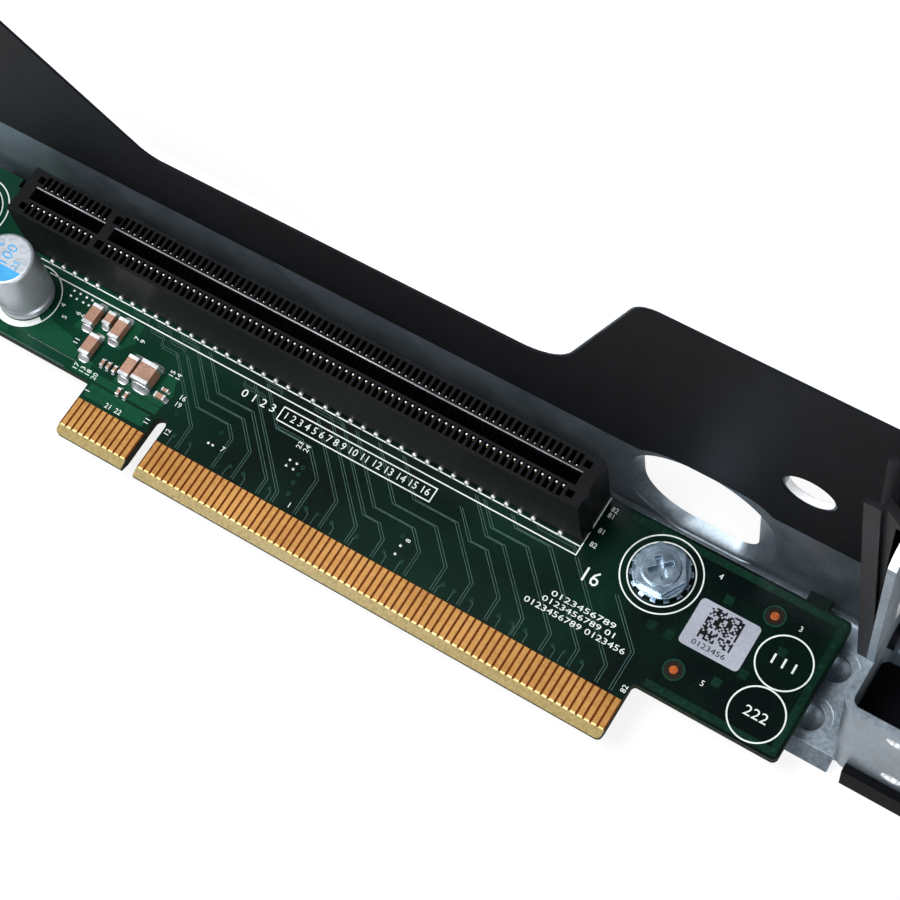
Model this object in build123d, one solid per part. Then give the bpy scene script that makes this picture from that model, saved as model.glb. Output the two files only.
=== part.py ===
from build123d import *
import math
import os

# All sizes are in millimetres. While modelling, X runs along the card edge from the first gold
# finger, Y from the tips of the fingers towards the upright plate, and Z out of the face of the
# board that carries the slot. The last lines move the whole object to its resting frame.

# Contacts of the card edge and of the slot: two groups either side of the key
contact_pitch = 1.0
short_group = 11
long_group = 71
key_step = 3

# Gold fingers
finger_width = 0.70
finger_length = 4.3
finger_thickness = 0.05
finger_tip_gap = 1.3

# Circuit board
board_thickness = 1.57
board_before_fingers = 40.0
board_after_fingers = 20.0
shoulder_height = 8.2
board_depth = 19.9
board_corner = 0.8
tongue_before = 0.57
tongue_after = 0.5
tongue_corner = 0.7
shoulder_fillet = 0.6
key_notch_width = 1.9
key_notch_height = 8.65
tip_bevel_length = 1.3
tip_bevel_angle = 20.0
right_tab_inset = 3.5
right_tab_width = 3.0
left_tab_inset = 6.0
left_tab_width = 6.0
tab_height = 1.35
screw_hole_radius = 1.95
screw_height = 22.16
left_screw_inset = 8.3
right_screw_inset = 23.46

# Slot housing
slot_before_fingers = 17.27
slot_centre_height = 16.2
slot_width = 1.9
slot_floor = 2.25
slot_end_left = 1.03
slot_end_right = 1.27
slot_key_width = 1.6
lip_thickness = 0.35
lip_height = 1.35
pocket_width = 0.62
pocket_length = 1.8
pocket_floor = 1.2
housing_wall = 0.45
housing_end_left = 2.88
housing_end_right = 3.12
housing_height = 11.25
housing_foot = 0.4
housing_foot_length = 2.4
peg_radius = 1.1
peg_length = 1.3
peg_clearance = 0.05
end_pocket_size = 1.0
end_pocket_depth = 4.0
end_rib_radius = 1.0
end_rib_reach = 0.3

# Spring contacts of the slot
contact_width = 0.36
contact_thickness = 0.2
contact_foot_inset = 0.7
contact_reach = 0.15
contact_touch_height = 7.4
contact_tip_height = 10.5
contact_tip_inset = 1.05

# Solder joints along the front of the slot housing
joint_step = 2
joint_width = 0.56
joint_depth = 0.62
joint_height = 0.9
empty_joint_steps = (81,)

# Folded sheet carrier
sheet = 1.0
bend_radius = 1.0
standoff_height = 2.5
plate_gap = 1.9
carrier_left_margin = 4.0
carrier_right_margin = 18.0
wall_front = 13.2
front_lip_length = 2.15
front_lip_angle = 35.0
plate_left_top = 46.0
plate_middle_top = 28.5
plate_right_top = 53.2
plate_left_slope_start = -14.8
plate_left_slope_end = 2.7
plate_right_slope_start = 61.97
plate_right_slope_end = 73.5
plate_outer_fillet = 2.0
plate_left_fillets = (1.0, 5.0)
plate_right_fillets = (8.0, 4.0)

# Dished oval hole and round hole of the plate
oval_left = 70.3
oval_right = 91.0
oval_low = -3.7
oval_high = 17.5
oval_left_radius = 8.0
oval_right_radius = 5.0
dish_left = 71.7
dish_right = 88.0
dish_low = -2.7
dish_high = 16.6
dish_left_radius = 7.5
dish_right_radius = 3.0
dish_depth = 1.9
round_hole_radius = 3.15
round_hole_place = (94.5, 27.3)

# Embossed dimples of the carrier wall, which also stand on the bench
dimple_radius = 1.75
dimple_places = ((103.5, 16.3), (103.5, 23.3), (60.0, 27.2), (-38.0, 16.3), (-38.0, 27.2))

# Front flange and end wall at the right end of the carrier
lip_notch = 0.35
flange_front = 12.4
end_wall_left = 107.9
flange_top = 18.5
end_wall_top = 48.5
end_wall_upper_front = 18.8
end_wall_back = 29.0
end_wall_corner = 3.0
flange_low_hole = (115.7, 2.5)
flange_low_hole_radius = 1.4
flange_high_hole = (115.0, 15.8)
flange_high_hole_radius = 1.2
end_oblong_centre = (24.4, 25.0)
end_oblong_length = 7.0
end_oblong_width = 3.0
end_round_hole = (27.2, 6.9)
end_round_hole_radius = 1.2

# Insulating film
film_thickness = 0.25
film_inset = 0.25
film_low = 15.5
film_hole_margin = 0.3

# Card guide with its two snap pins
guide_depth = 2.6
guide_width = 5.8
guide_low = 10.5
guide_high = 44.0
guide_slot_width = 2.0
guide_slot_depth = 1.7
guide_mouth_height = 3.5
guide_mouth_width = 4.2
prong_reach = 2.0
prong_height = 10.0
prong_thickness = 1.0
guide_pin_radius = 1.1
guide_pin_head_radius = 1.7
guide_pin_head = 0.8
guide_pin_clearance = 0.05
guide_pin_heights = (14.0, 38.0)

# End cushion and rubber edge trim
cushion_back = 22.8
cushion_top = 9.5
trim_left_gap = 0.2
trim_front_cover = 1.1
trim_back = 14.5
trim_top = -0.7

# Standoffs, screws and lock washers
standoff_radius = 3.0
standoff_bore = 1.75
clinch_radius = 2.2
clinch_clearance = 0.02
screw_shank_radius = 1.70
washer_bore = 1.85
washer_ring_radius = 3.3
washer_radius = 4.0
washer_thickness = 0.5
washer_teeth = 14
washer_tooth_width = 0.75
screw_flange_radius = 3.7
screw_flange_height = 0.7
screw_hexagon = 6.2
screw_hexagon_height = 1.1
screw_crown_radius = 2.5
screw_crown_height = 0.3
recess_width = 0.75
recess_length = 3.2
recess_depth = 1.2

# Electrolytic capacitor
can_place = (-16.2, 14.75)
can_radius = 4.0
can_base = 0.3
can_top = 10.2
can_edge = 0.5
groove_centre = 1.55
groove_depth = 0.35
groove_height = 0.7
seal_radius = 3.5
lead_radius = 0.3
lead_spacing = 3.5
lead_tail = 1.0
lead_clearance = 0.05

# Ceramic capacitors: length, width, height, terminal length, and the places of their centres
chip_sizes = {
    "1210": (3.2, 2.6, 2.2, 0.55),
    "1206": (3.2, 1.6, 1.35, 0.5),
    "0805": (2.0, 1.25, 1.05, 0.4),
    "0603": (1.6, 0.8, 0.8, 0.3),
    "0402": (1.0, 0.5, 0.5, 0.22),
}
chips_across = {
    "1210": ((6.28, 12.55),),
    "1206": ((-5.62, 16.4), (-1.18, 16.4), (-3.34, 12.5), (3.37, 12.45)),
    "0805": ((-3.38, 17.1),),
    "0603": (),
    "0402": ((-0.5, 11.35), (0.5, 11.35), (1.55, 11.35), (3.95, 8.9), (5.15, 8.9)),
}
chips_along = {
    "1210": (),
    "1206": (),
    "0805": (),
    "0603": ((9.45, 11.0),),
    "0402": ((9.45, 12.15),),
}
chip_body_inset = 0.03
chip_solder_length = 0.3
chip_solder_height_share = 0.6

# Label and fiducial dots
label_place = (89.6, 18.83)
label_size = (8.3, 6.55)
label_corner = 0.6
label_thickness = 0.1
fiducial_radius = 0.55
fiducial_thickness = 0.04
fiducial_places = ((94.25, 24.25), (86.95, 12.1))

# Sizes that follow from those above
contact_steps = [*range(short_group), *(short_group - 1 + key_step + n for n in range(long_group))]
key_middle = (short_group - 1 + key_step / 2) * contact_pitch
last_contact = contact_steps[-1] * contact_pitch
board_left = -board_before_fingers
board_right = last_contact + board_after_fingers
board_top = shoulder_height + board_depth
tongue_left = -tongue_before
tongue_right = last_contact + tongue_after
screw_places = (
    (board_left + left_screw_inset, screw_height),
    (board_right - right_screw_inset, screw_height),
)
slot_first = -slot_before_fingers
slot_last = slot_first + last_contact
slot_key = slot_first + key_middle
slot_middle = shoulder_height + slot_centre_height
slot_half = slot_width / 2
pocket_inner = slot_half + lip_thickness
pocket_outer = pocket_inner + pocket_length
housing_half = pocket_outer + housing_wall
housing_left = slot_first - housing_end_left
housing_right = slot_last + housing_end_right
peg_places = (housing_left + housing_foot_length / 2, housing_right - housing_foot_length / 2)
wall_inner = -board_thickness - standoff_height
wall_outer = wall_inner - sheet
lip_slope = math.radians(front_lip_angle)
lowest = wall_inner - front_lip_length * math.sin(lip_slope) - sheet * math.cos(lip_slope)
plate_inner = board_top + plate_gap
plate_outer = plate_inner + sheet
rim_back = plate_inner + dish_depth
carrier_left = board_left - carrier_left_margin
carrier_right = board_right + carrier_right_margin
end_wall_right = end_wall_left + sheet
flange_back = flange_front + sheet
flange_left = end_wall_left + bend_radius + sheet
film_back = plate_inner
film_front = film_back - film_thickness
guide_left = end_wall_left - guide_depth
lead_places = [(can_place[0] + side * lead_spacing / 2, can_place[1]) for side in (-1, 1)]


def block(x_from, x_to, y_from, y_to, z_from, z_to):
    """A box between two opposite corners."""
    size = Box(x_to - x_from, y_to - y_from, z_to - z_from, align=Align.MIN)
    return Pos(x_from, y_from, z_from) * size


def outline(corners):
    """A flat face from entries of two coordinates and a corner radius."""
    points = [entry[:2] for entry in corners]
    return make_face(FilletPolyline(*points, radius=[entry[2] for entry in corners], close=True))


def rounded_area(left, right, low, high, left_radius, right_radius):
    """A rectangle with its own corner radius at each end."""
    return outline(
        [
            (left, low, left_radius),
            (right, low, right_radius),
            (right, high, right_radius),
            (left, high, left_radius),
        ]
    )


def along_x(face, x_from, x_to):
    """A solid with a Y-Z section, from one X to another."""
    return extrude(Pos(x_from, 0, 0) * (Plane.YZ * face), amount=x_to - x_from, dir=(1, 0, 0))


def along_y(face, y_from, y_to):
    """A solid with an X-Z outline, from one Y to another."""
    return extrude(Pos(0, y_from, 0) * (Plane.XZ * face), amount=y_to - y_from, dir=(0, 1, 0))


def along_z(face, z_from, z_to):
    """A solid with an X-Y outline, from one Z to another."""
    return extrude(Pos(0, 0, z_from) * face, amount=z_to - z_from, dir=(0, 0, 1))


def disc(place, radius):
    """A flat round face at a point."""
    return Pos(*place) * Circle(radius)


def post(place, radius, z_from, z_to):
    """An upright cylinder."""
    return along_z(disc(place, radius), z_from, z_to)


def circuit_board():
    """The laminate with its keyed tongue, bevelled tip, break-off tabs and holes."""
    tabs_top = board_top + tab_height
    right_tab = board_right - right_tab_inset
    left_tab = board_left + left_tab_inset
    face = outline(
        [
            (board_left, shoulder_height, board_corner),
            (tongue_left, shoulder_height, shoulder_fillet),
            (tongue_left, 0, tongue_corner),
            (tongue_right, 0, tongue_corner),
            (tongue_right, shoulder_height, shoulder_fillet),
            (board_right, shoulder_height, board_corner),
            (board_right, board_top, board_corner),
            (right_tab, board_top, 0),
            (right_tab, tabs_top, 0),
            (right_tab - right_tab_width, tabs_top, 0),
            (right_tab - right_tab_width, board_top, 0),
            (left_tab + left_tab_width, board_top, 0),
            (left_tab + left_tab_width, tabs_top, 0),
            (left_tab, tabs_top, 0),
            (left_tab, board_top, 0),
            (board_left, board_top, board_corner),
        ]
    )
    notch_centre = key_notch_height - key_notch_width / 2
    notch = Pos(key_middle, notch_centre / 2 - 1) * Rectangle(key_notch_width, notch_centre + 2)
    face -= notch + disc((key_middle, notch_centre), key_notch_width / 2)
    holes = [disc(place, screw_hole_radius) for place in screw_places]
    holes += [disc((x, slot_middle), peg_radius + peg_clearance) for x in peg_places]
    holes += [disc(place, lead_radius + lead_clearance) for place in lead_places]
    board = along_z(face - holes, -board_thickness, 0)
    bevel = tip_bevel_length * math.tan(math.radians(tip_bevel_angle))
    for face_level, side in ((0, -1), (-board_thickness, 1)):
        wedge = outline(
            [
                (-1, face_level, 0),
                (tip_bevel_length, face_level, 0),
                (0, face_level + side * bevel, 0),
                (-1, face_level + side * bevel, 0),
            ]
        )
        board -= along_x(wedge, tongue_left - 1, tongue_right + 1)
    return board


def fingers(z_from):
    """The row of gold contact strips on one face of the tongue."""
    near = finger_tip_gap
    far = finger_tip_gap + finger_length
    half = finger_width / 2
    return [
        block(x - half, x + half, near, far, z_from, z_from + finger_thickness)
        for x in (step * contact_pitch for step in contact_steps)
    ]


def slot_housing():
    """The keyed slot with a pocket behind an undercut lip for each contact."""
    near = slot_middle - housing_half
    far = slot_middle + housing_half
    housing = block(housing_left, housing_right, near, far, housing_foot, housing_height)
    for foot_left in (housing_left, slot_key, housing_right - housing_foot_length):
        housing += block(foot_left, foot_left + housing_foot_length, near, far, 0, housing_foot)
    for x in peg_places:
        housing += post((x, slot_middle), peg_radius, -peg_length, 0)
    rib_centre = (housing_right + end_rib_reach - end_rib_radius, near + 2 * end_rib_radius)
    housing += post(rib_centre, end_rib_radius, housing_foot, housing_height)
    tools = [
        block(
            x_from,
            x_to,
            slot_middle - slot_half,
            slot_middle + slot_half,
            slot_floor,
            housing_height + 1,
        )
        for x_from, x_to in (
            (slot_first - slot_end_left, slot_key - slot_key_width / 2),
            (slot_key + slot_key_width / 2, slot_last + slot_end_right),
        )
    ]
    under_lip = housing_height - lip_height
    for side in (-1, 1):
        pocket = outline(
            [
                (slot_middle + side * pocket_outer, pocket_floor, 0),
                (slot_middle + side * pocket_inner, pocket_floor, 0),
                (slot_middle + side * pocket_inner, slot_floor, 0),
                (slot_middle + side * slot_half, slot_floor, 0),
                (slot_middle + side * slot_half, under_lip, 0),
                (slot_middle + side * pocket_inner, under_lip, 0),
                (slot_middle + side * pocket_inner, housing_height + 1, 0),
                (slot_middle + side * pocket_outer, housing_height + 1, 0),
            ]
        )
        for step in contact_steps:
            x = slot_first + step * contact_pitch
            tools.append(along_x(pocket, x - pocket_width / 2, x + pocket_width / 2))
        for x in (slot_first - slot_end_left, slot_last + slot_end_right):
            centre = (x, slot_middle + side * (pocket_inner + pocket_length / 2))
            shape = Pos(*centre) * Rectangle(end_pocket_size, end_pocket_size)
            tools.append(along_z(shape, housing_height - end_pocket_depth, housing_height + 1))
    return housing - tools


def slot_contacts(side):
    """One row of bent spring contacts, each standing in its own pocket."""
    half = contact_thickness / 2
    foot = pocket_outer - contact_foot_inset
    touch = slot_half - contact_reach
    tip = pocket_inner + contact_tip_inset - pocket_length / 2 + contact_thickness
    spring = outline(
        [
            (slot_middle + side * (foot + half), pocket_floor, 0),
            (slot_middle + side * (foot - half), pocket_floor, 0),
            (slot_middle + side * (touch - half), contact_touch_height, 0),
            (slot_middle + side * (tip - half), contact_tip_height, 0),
            (slot_middle + side * (tip + half), contact_tip_height, 0),
            (slot_middle + side * (touch + half), contact_touch_height, 0),
        ]
    )
    return [
        along_x(spring, x - contact_width / 2, x + contact_width / 2)
        for x in (slot_first + step * contact_pitch for step in contact_steps)
    ]


def slot_solder():
    """A tapered solder joint at every second contact, along the front of the housing."""
    near = slot_middle - housing_half
    wedge = outline(
        [
            (near, 0, 0),
            (near - joint_depth, 0, 0),
            (near - joint_depth, joint_height / 4, 0),
            (near, joint_height, 0),
        ]
    )
    steps = [n for n in contact_steps if n % joint_step == 1 and n not in empty_joint_steps]
    places = [slot_first + step * contact_pitch for step in steps]
    return [along_x(wedge, x - joint_width / 2, x + joint_width / 2) for x in places]


def plate_outline():
    """The upright plate seen from the front, reaching below the wall so that it cuts nothing there."""
    below = lowest - 1
    left_step, left_foot = plate_left_fillets
    right_foot, right_step = plate_right_fillets
    return outline(
        [
            (carrier_left, below, 0),
            (carrier_left, plate_left_top, plate_outer_fillet),
            (plate_left_slope_start, plate_left_top, left_step),
            (plate_left_slope_end, plate_middle_top, left_foot),
            (plate_right_slope_start, plate_middle_top, right_foot),
            (plate_right_slope_end, plate_right_top, right_step),
            (carrier_right, plate_right_top, plate_outer_fillet),
            (carrier_right, below, 0),
        ]
    )


def folded_wall(front_lip):
    """The L-shaped section of wall and plate, with or without the sloping front lip."""
    outer = bend_radius + sheet
    top = plate_right_top + 1
    upper = [
        (plate_inner, wall_inner, bend_radius),
        (plate_inner, top, 0),
        (plate_outer, top, 0),
        (plate_outer, wall_outer, outer),
    ]
    if not front_lip:
        return outline([(wall_front, wall_outer, 0), (wall_front, wall_inner, 0), *upper])
    run = front_lip_length * math.cos(lip_slope)
    drop = front_lip_length * math.sin(lip_slope)
    mitre = sheet * math.tan(lip_slope / 2)
    return outline(
        [
            (wall_front + mitre, wall_outer, 0),
            (wall_front - run + sheet * math.sin(lip_slope), lowest, 0),
            (wall_front - run, wall_inner - drop, 0),
            (wall_front, wall_inner, 0),
            *upper,
        ]
    )


def front_flange_and_end_wall():
    """The flange folded up from the wall and the end wall folded back from the flange."""
    outer = bend_radius + sheet
    base = wall_inner + bend_radius
    foot = outline(
        [
            (wall_front + outer, wall_inner, 0),
            (flange_back, wall_inner, bend_radius),
            (flange_back, base, 0),
            (flange_front, base, 0),
            (flange_front, wall_outer, outer),
            (wall_front + outer, wall_outer, 0),
        ]
    )
    flange = along_x(foot, flange_left, carrier_right)
    corner = outline(
        [
            (carrier_right, flange_back, 0),
            (end_wall_right, flange_back, bend_radius),
            (end_wall_right, end_wall_back, 0),
            (end_wall_left, end_wall_back, 0),
            (end_wall_left, flange_front, outer),
            (carrier_right, flange_front, 0),
        ]
    )
    side_view = outline(
        [
            (flange_front, base, 0),
            (flange_front, flange_top, 0),
            (end_wall_upper_front, flange_top, 0),
            (end_wall_upper_front, end_wall_top, end_wall_corner),
            (end_wall_back, end_wall_top, 0),
            (end_wall_back, base, 0),
        ]
    )
    folded = along_z(corner, base, end_wall_top)
    folded &= along_x(side_view, end_wall_left, carrier_right)
    cuts = []
    for place, radius in (
        (flange_low_hole, flange_low_hole_radius),
        (flange_high_hole, flange_high_hole_radius),
    ):
        cuts.append(along_y(disc(place, radius), flange_front - 1, flange_back + 1))
    oblong = Pos(*end_oblong_centre) * SlotOverall(end_oblong_length, end_oblong_width, rotation=90)
    pins = [
        disc((slot_middle, height), guide_pin_radius + guide_pin_clearance)
        for height in guide_pin_heights
    ]
    for face in (oblong, disc(end_round_hole, end_round_hole_radius), *pins):
        cuts.append(along_x(face, end_wall_left - 1, end_wall_right + 1))
    return flange + folded - cuts


def dish():
    """The rim pressed out of the plate round the oval hole, and the hole through it."""
    front = (oval_left, oval_right, oval_low, oval_high, oval_left_radius, oval_right_radius)
    back = (dish_left, dish_right, dish_low, dish_high, dish_left_radius, dish_right_radius)

    def section(sizes, grow, y):
        left, right, low, high, left_radius, right_radius = sizes
        face = rounded_area(
            left - grow,
            right + grow,
            low - grow,
            high + grow,
            left_radius + grow,
            right_radius + grow,
        )
        return Pos(0, y, 0) * (Plane.XZ * face)

    hole = loft([section(front, 0, plate_inner), section(back, 0, rim_back)], ruled=True)
    rim_front = plate_inner + sheet / 2
    rim = loft([section(front, sheet / 2, rim_front), section(back, sheet, rim_back)], ruled=True)
    mouth = along_y(rounded_area(*front), plate_inner - 2 * bend_radius, plate_inner)
    return rim, [hole, mouth]


def carrier():
    """One folded sheet: wall, sloping lip, upright plate, front flange and end wall."""
    notch_left = end_wall_left + lip_notch
    notch_right = notch_left + lip_notch
    long_part = along_x(folded_wall(True), carrier_left, notch_left)
    short_part = along_x(folded_wall(False), notch_left, carrier_right)
    front_corner = block(
        notch_right,
        flange_left,
        wall_front - 1,
        wall_front + bend_radius + sheet,
        wall_outer - 1,
        wall_inner + 1,
    )
    flange_run = block(
        flange_left,
        carrier_right,
        wall_front - 1,
        wall_front + bend_radius + sheet,
        wall_outer - 1,
        wall_inner + 1,
    )
    sheet_body = (long_part + (short_part - front_corner - flange_run)) & along_y(
        plate_outline(), 0, plate_outer + 1
    )
    sheet_body += front_flange_and_end_wall()
    rim, hole = dish()
    sheet_body += rim
    for place in dimple_places:
        sheet_body += post(place, dimple_radius + sheet, lowest, wall_outer)
    cuts = [*hole]
    cuts.append(
        along_y(disc(round_hole_place, round_hole_radius), plate_inner - 1, plate_outer + 1)
    )
    cuts += [post(place, dimple_radius, lowest + sheet, wall_inner + 1) for place in dimple_places]
    cuts += [
        post(place, clinch_radius + clinch_clearance, wall_outer - 1, wall_inner + 1)
        for place in screw_places
    ]
    return sheet_body - cuts


def insulating_film():
    """Thin film on the front of the plate, cut round the holes."""
    left_step, left_foot = plate_left_fillets
    right_foot, right_step = plate_right_fillets
    film = outline(
        [
            (carrier_left + film_inset, film_low, 0),
            (carrier_left + film_inset, plate_left_top - film_inset, plate_outer_fillet),
            (plate_left_slope_start - film_inset / 2, plate_left_top - film_inset, left_step),
            (plate_left_slope_end - film_inset / 2, plate_middle_top - film_inset, left_foot),
            (plate_right_slope_start + film_inset / 2, plate_middle_top - film_inset, right_foot),
            (plate_right_slope_end + film_inset / 2, plate_right_top - film_inset, right_step),
            (carrier_right - film_inset, plate_right_top - film_inset, plate_outer_fillet),
            (carrier_right - film_inset, film_low, 0),
        ]
    )
    film -= disc(round_hole_place, round_hole_radius + film_hole_margin)
    film -= rounded_area(
        oval_left - film_hole_margin,
        oval_right + film_hole_margin,
        oval_low - film_hole_margin,
        oval_high + film_hole_margin,
        oval_left_radius + film_hole_margin,
        oval_right_radius + film_hole_margin,
    )
    return along_y(film, film_front, film_back)


def card_guide():
    """The slotted guide for the edge of a card, with a flared mouth and a leaning prong."""
    near = slot_middle - guide_width / 2
    far = slot_middle + guide_width / 2
    guide = block(guide_left, end_wall_left, near, far, guide_low, guide_high)
    lean = outline(
        [
            (guide_left, guide_high - prong_height, 0),
            (guide_left - prong_reach, guide_high + prong_height / 4, 0),
            (guide_left - prong_reach + prong_thickness, guide_high + prong_height / 4, 0),
            (guide_left + prong_thickness, guide_high - prong_height / 4, 0),
        ]
    )
    guide += along_y(lean, near, far)
    half = guide_slot_width / 2
    mouth = guide_mouth_width / 2
    mouth_low = guide_high - guide_mouth_height
    top = guide_high + prong_height
    slot = outline(
        [
            (slot_middle - half, guide_low - 1, 0),
            (slot_middle + half, guide_low - 1, 0),
            (slot_middle + half, mouth_low, 0),
            (slot_middle + mouth, guide_high, 0),
            (slot_middle + mouth, top, 0),
            (slot_middle - mouth, top, 0),
            (slot_middle - mouth, guide_high, 0),
            (slot_middle - half, mouth_low, 0),
        ]
    )
    return guide - along_x(slot, guide_left - prong_reach - 1, guide_left + guide_slot_depth)


def guide_pins():
    """Snap pins that hold the guide through the end wall."""
    pins = []
    for height in guide_pin_heights:
        place = (slot_middle, height)
        head_at = end_wall_right + guide_pin_head
        shank = along_x(disc(place, guide_pin_radius), end_wall_left, end_wall_right)
        head = along_x(disc(place, guide_pin_head_radius), end_wall_right, head_at)
        pins.append(shank + head)
    return pins


def end_cushion():
    """The block that fills the corner between the end wall and the front flange."""
    section = outline(
        [
            (end_wall_right, flange_back, bend_radius),
            (carrier_right, flange_back, 0),
            (carrier_right, cushion_back, 1),
            (end_wall_right, cushion_back, 1),
        ]
    )
    return along_z(section, wall_inner + bend_radius, cushion_top)


def edge_trim():
    """The rubber strip over the outside of the fold below the front flange."""
    outer = bend_radius + sheet
    front = flange_front - trim_front_cover
    section = outline(
        [
            (front, lowest, 0),
            (trim_back, lowest, 0),
            (trim_back, wall_outer, 0),
            (flange_front, wall_outer, outer),
            (flange_front, trim_top, 0),
            (front, trim_top, 0),
        ]
    )
    return along_x(section, flange_left + trim_left_gap, carrier_right)


def standoffs():
    """Threaded spacers clinched into the wall under the board."""
    pieces = []
    for place in screw_places:
        body = post(place, standoff_radius, wall_inner, -board_thickness)
        body += post(place, clinch_radius, wall_outer, wall_inner)
        pieces.append(body - post(place, standoff_bore, wall_outer - 1, 0))
    return pieces


def lock_washers():
    """Washers with external teeth under the screw heads."""
    pieces = []
    tooth_length = washer_radius - washer_ring_radius + washer_tooth_width
    tooth_middle = washer_radius - tooth_length / 2
    for place in screw_places:
        face = disc(place, washer_ring_radius)
        tooth = Pos(tooth_middle, 0) * Rectangle(tooth_length, washer_tooth_width)
        for count in range(washer_teeth):
            face += Pos(*place) * Rot(0, 0, 360 * count / washer_teeth) * tooth
        pieces.append(along_z(face - disc(place, washer_bore), 0, washer_thickness))
    return pieces


def screws():
    """Flanged hexagon screws with a cross recess."""
    flange_top_z = washer_thickness + screw_flange_height
    hexagon_top = flange_top_z + screw_hexagon_height
    crown_top = hexagon_top + screw_crown_height
    pieces = []
    for place in screw_places:
        screw = post(place, screw_shank_radius, wall_outer, washer_thickness)
        screw += post(place, screw_flange_radius, washer_thickness, flange_top_z)
        hexagon = Pos(*place) * RegularPolygon(screw_hexagon / 2, 6, major_radius=False)
        screw += along_z(hexagon, flange_top_z, hexagon_top)
        screw += post(place, screw_crown_radius, hexagon_top, crown_top)
        for turn in (45, 135):
            arm = Pos(*place) * Rot(0, 0, turn) * Rectangle(recess_length, recess_width)
            screw -= along_z(arm, crown_top - recess_depth, crown_top + 1)
        pieces.append(screw)
    return pieces


def capacitor_can():
    """The aluminium can, open at its foot, with a rolled groove round its base."""
    wall = can_radius - seal_radius
    groove_low = groove_centre - groove_height / 2
    groove_high = groove_centre + groove_height / 2
    profile = outline(
        [
            (0, can_top, 0),
            (0, groove_high + wall, 0),
            (seal_radius, groove_high + wall, 0),
            (seal_radius, can_base, 0),
            (can_radius, can_base, 0),
            (can_radius, groove_low, 0),
            (can_radius - groove_depth, groove_centre, 0),
            (can_radius, groove_high, 0),
            (can_radius, can_top, can_edge),
        ]
    )
    return Pos(*can_place, 0) * revolve(Plane.XZ * profile, axis=Axis.Z)


def capacitor_seal():
    """The rubber plug in the foot of the can."""
    wall = can_radius - seal_radius
    top = groove_centre + groove_height / 2 + wall
    plug = post(can_place, seal_radius, 0, top)
    return plug - [post(place, lead_radius, -1, top / 2) for place in lead_places]


def capacitor_leads():
    """Two wires from the plug down through the board."""
    top = (groove_centre + groove_height / 2 + can_radius - seal_radius) / 2
    low = -board_thickness - lead_tail
    return [post(place, lead_radius, low, top) for place in lead_places]


def chip_solids(name):
    """The bodies, end terminals and solder of every ceramic capacitor of one size."""
    length, width, height, terminal = chip_sizes[name]
    half = length / 2
    inner = half - terminal
    side = width / 2
    body = block(
        -inner,
        inner,
        chip_body_inset - side,
        side - chip_body_inset,
        chip_body_inset,
        height - chip_body_inset,
    )
    ends = [
        block(-half, -inner, -side, side, 0, height),
        block(inner, half, -side, side, 0, height),
    ]
    solder_height = height * chip_solder_height_share
    wedge = outline([(half, 0, 0), (half + chip_solder_length, 0, 0), (half, solder_height, 0)])
    fillet_right = along_y(wedge, -side, side)
    joints = [fillet_right, Rot(0, 0, 180) * fillet_right]
    spots = [Pos(*place, 0) * Rot(0, 0, 90) for place in chips_across[name]]
    spots += [Pos(*place, 0) for place in chips_along[name]]
    return tuple(
        [spot * piece for spot in spots for piece in pieces] for pieces in ([body], ends, joints)
    )


def label():
    """The sticker on the board."""
    return along_z(Pos(*label_place) * RectangleRounded(*label_size, label_corner), 0, label_thickness)


def fiducials():
    """Bare copper dots for optical alignment."""
    return [post(place, fiducial_radius, 0, fiducial_thickness) for place in fiducial_places]


def all_nodes():
    """Every named piece with its solids."""
    nodes = {
        "carrier": carrier(),
        "insulating_film": insulating_film(),
        "standoffs": standoffs(),
        "circuit_board": circuit_board(),
        "front_fingers": fingers(0),
        "rear_fingers": fingers(-board_thickness - finger_thickness),
        "slot_housing": slot_housing(),
        "slot_contacts_front": slot_contacts(-1),
        "slot_contacts_rear": slot_contacts(1),
        "slot_solder": slot_solder(),
        "screws": screws(),
        "lock_washers": lock_washers(),
        "capacitor_can": capacitor_can(),
        "capacitor_seal": capacitor_seal(),
        "capacitor_leads": capacitor_leads(),
        "label": label(),
        "fiducials": fiducials(),
        "card_guide": card_guide(),
        "guide_pins": guide_pins(),
        "end_cushion": end_cushion(),
        "edge_trim": edge_trim(),
    }
    chip_solder = []
    for name in chip_sizes:
        bodies, ends, joints = chip_solids(name)
        nodes[f"chip_bodies_{name}"] = bodies
        nodes[f"chip_ends_{name}"] = ends
        chip_solder += joints
    nodes["chip_solder"] = chip_solder
    return nodes


def write_nodes():
    """Moves the object to the middle of its base and writes one file for each node."""
    os.makedirs("parts", exist_ok=True)
    middle = ((carrier_left + carrier_right) / 2, rim_back / 2, lowest)
    to_rest = Pos(*(-value for value in middle))
    for name, shape in all_nodes().items():
        pieces = shape if isinstance(shape, list) else [shape]
        solids = [solid for piece in pieces for solid in piece.solids()]
        export_step(Compound([to_rest * solid for solid in solids]), f"parts/{name}.step")


write_nodes()
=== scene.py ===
import random
from math import acos, cos, pi, radians, sin, sqrt

import bmesh
import bpy
from mathutils import Matrix, Vector


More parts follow.
